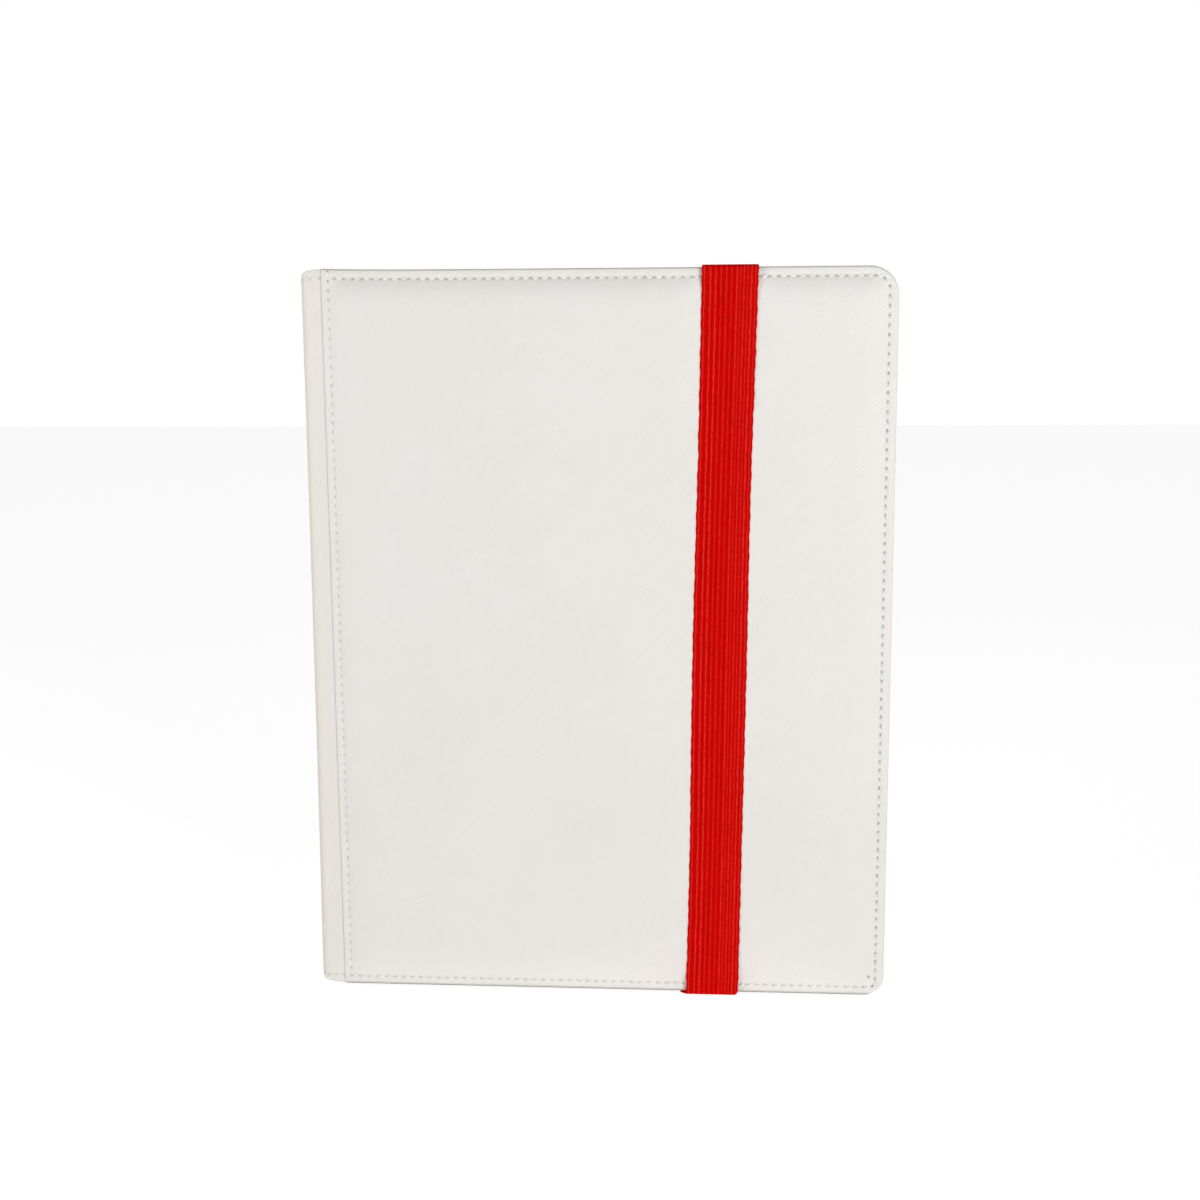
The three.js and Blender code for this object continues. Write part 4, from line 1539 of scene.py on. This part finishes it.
def thin_shell(
    name: str,
    x: np.ndarray,
    y: np.ndarray,
    z: np.ndarray,
    half: float,
    finish: bpy.types.Material,
    keep: np.ndarray | None = None,
    marks: dict[str, np.ndarray] | None = None,
) -> bpy.types.Object:
    """A sheet of even thickness round a grid of places, closed along its border and round any holes.

    Args:
        name: The piece's name.
        x: x of each place on the sheet's middle surface.
        y: y of each place.
        z: z of each place.
        half: Half of the sheet's thickness, along y.
        finish: The sheet's material.
        keep: Whether each cell of the grid is there; all are if it is left out.
        marks: Values for each place, by attribute name.

    Returns:
        The sheet's object.
    """
    rows, columns = x.shape
    keep = np.ones((rows - 1, columns - 1), bool) if keep is None else keep
    points = np.concatenate([np.stack([x, y - half, z], -1), np.stack([x, y + half, z], -1)])
    cells = grid_quads(rows, columns).reshape(rows - 1, columns - 1, 4)[keep]
    size = rows * columns
    edges = np.concatenate([cells[:, [side, (side + 1) % 4]] for side in range(4)])
    keys = np.sort(edges, axis=1) @ np.array([size, 1])
    _, first, counts = np.unique(keys, return_index=True, return_counts=True)
    border = edges[first[counts == 1]]
    walls = np.stack([border[:, 1], border[:, 0], border[:, 0] + size, border[:, 1] + size], axis=1)
    faces = np.concatenate([cells, cells[:, ::-1] + size, walls])
    used = np.zeros(2 * size, bool)
    used[faces.ravel()] = True
    renumber = np.cumsum(used) - 1
    kept = {key: np.concatenate([value.ravel()] * 2)[used] for key, value in (marks or {}).items()}
    return make_piece(name, points.reshape(-1, 3)[used], renumber[faces].tolist(), finish, kept)


# ---- Studio -----------------------------------------------------------------------------------------


class Studio:
    """A pale floor, plain soft light and the camera."""

    lens: float = 49.7
    right = Vector((0.9972, 0.0738, -0.0070))
    up = Vector((-0.0057, 0.1712, 0.9852))

    def build_floor(self) -> None:
        """A wide pale floor with a fine speckle, lit up for the camera to meet the white surround."""
        size = 4.0
        corners = [(-size, -size, 0.0), (size, -size, 0.0), (size, size, 0.0), (-size, size, 0.0)]
        mesh = bpy.data.meshes.new("floor")
        mesh.from_pydata(corners, [], [(0, 1, 2, 3)])
        material, tree, place = start_material("Pale floor")
        speckle = tree.add("TexNoise", {"Vector": place, "Scale": 400.0, "Detail": 2.0}).outputs[0]
        colour = tree.mix(speckle, rgba((0.84, 0.84, 0.84)), rgba((0.88, 0.88, 0.88)))
        seen = tree.add("LightPath").outputs["Is Camera Ray"]
        glow = tree.mix(seen, rgba((0.40, 0.40, 0.39)), rgba((1.0, 1.0, 1.0)))
        shader_inputs = {"Base Color": colour, "Roughness": 0.9}
        shader_inputs = {**shader_inputs, "Emission Color": glow, "Emission Strength": 0.8}
        shader = tree.add("BsdfPrincipled", shader_inputs)
        close_material(tree, shader, speckle, 0.05 * MM)
        mesh.materials.append(material)
        floor = bpy.data.objects.new("floor", mesh)
        bpy.context.scene.collection.objects.link(floor)

    def add_area(self, name: str, place: Spot, aim: Spot, size: float, power: float) -> None:
        """One square soft light, turned towards what it lights."""
        light = bpy.data.lights.new(name, "AREA")
        light.size = size
        light.energy = power
        lamp = bpy.data.objects.new(name, light)
        lamp.location = place
        lamp.rotation_euler = (Vector(aim) - Vector(place)).to_track_quat("-Z", "Y").to_euler()
        bpy.context.scene.collection.objects.link(lamp)

    def build_light(self) -> None:
        """A surround that is white to the eye and lights more from the side than above, and two lamps."""
        white = (1.0, 1.0, 1.0, 1.0)
        world = bpy.data.worlds.new("Studio")
        world.use_nodes = True
        tree = Tree(world.node_tree)
        direction = tree.add("SeparateXYZ", {0: tree.add("TexCoord").outputs["Generated"]})
        level = tree.remap(direction.outputs["Z"], 0.0, 0.5, 0.93, 0.08)
        around = tree.add("Background", {"Color": white, "Strength": level})
        shown = tree.add("Background", {"Color": white, "Strength": 1.0})
        seen = tree.add("LightPath").outputs["Is Camera Ray"]
        both = tree.add("MixShader", {0: seen, 1: around.outputs[0], 2: shown.outputs[0]})
        tree.add("OutputWorld", {"Surface": both.outputs[0]})
        bpy.context.scene.world = world
        self.add_area("key", (0.95, -1.25, 0.08), (0.0, 0.0, 0.17), 0.8, 21.0)
        self.add_area("side", (-1.4, -0.8, 0.3), (0.0, 0.0, 0.17), 0.6, 7.6)
        bpy.context.scene.view_settings.view_transform = "Standard"

    def build_camera(self) -> None:
        """The camera stands before the middle of the cover, near its top, and looks down a little."""
        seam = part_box("front_cover_skin")[0]
        place = seam + Vector((0.1823, -0.752, 0.3209))
        ahead = self.up.cross(self.right)
        camera = bpy.data.cameras.new("camera")
        camera.lens = self.lens
        camera.sensor_width = 36.0
        viewer = bpy.data.objects.new("camera", camera)
        turn = Matrix((self.right, self.up, -ahead)).transposed().to_4x4()
        viewer.matrix_world = Matrix.Translation(place) @ turn
        bpy.context.scene.collection.objects.link(viewer)
        bpy.context.scene.camera = viewer

    def build(self) -> None:
        """Makes the whole studio."""
        self.build_floor()
        self.build_light()
        self.build_camera()


def main() -> None:
    """Builds the binder's pieces in order."""
    logging.basicConfig(level=logging.INFO, format="%(name)s: %(message)s")
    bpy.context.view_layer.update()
    Studio().build()
    finishes = Finishes()
    strap = Strap()
    Cover(Side.FRONT, pressed=0.5).build(strap, finishes)
    Cover(Side.BACK, pillow=0.7 * MM).build(strap, finishes)
    Spine().build(finishes)
    for name in leaf_names():
        Leaf(name).build(finishes)
    strap.build(finishes)


if __name__ == "__main__":
    main()
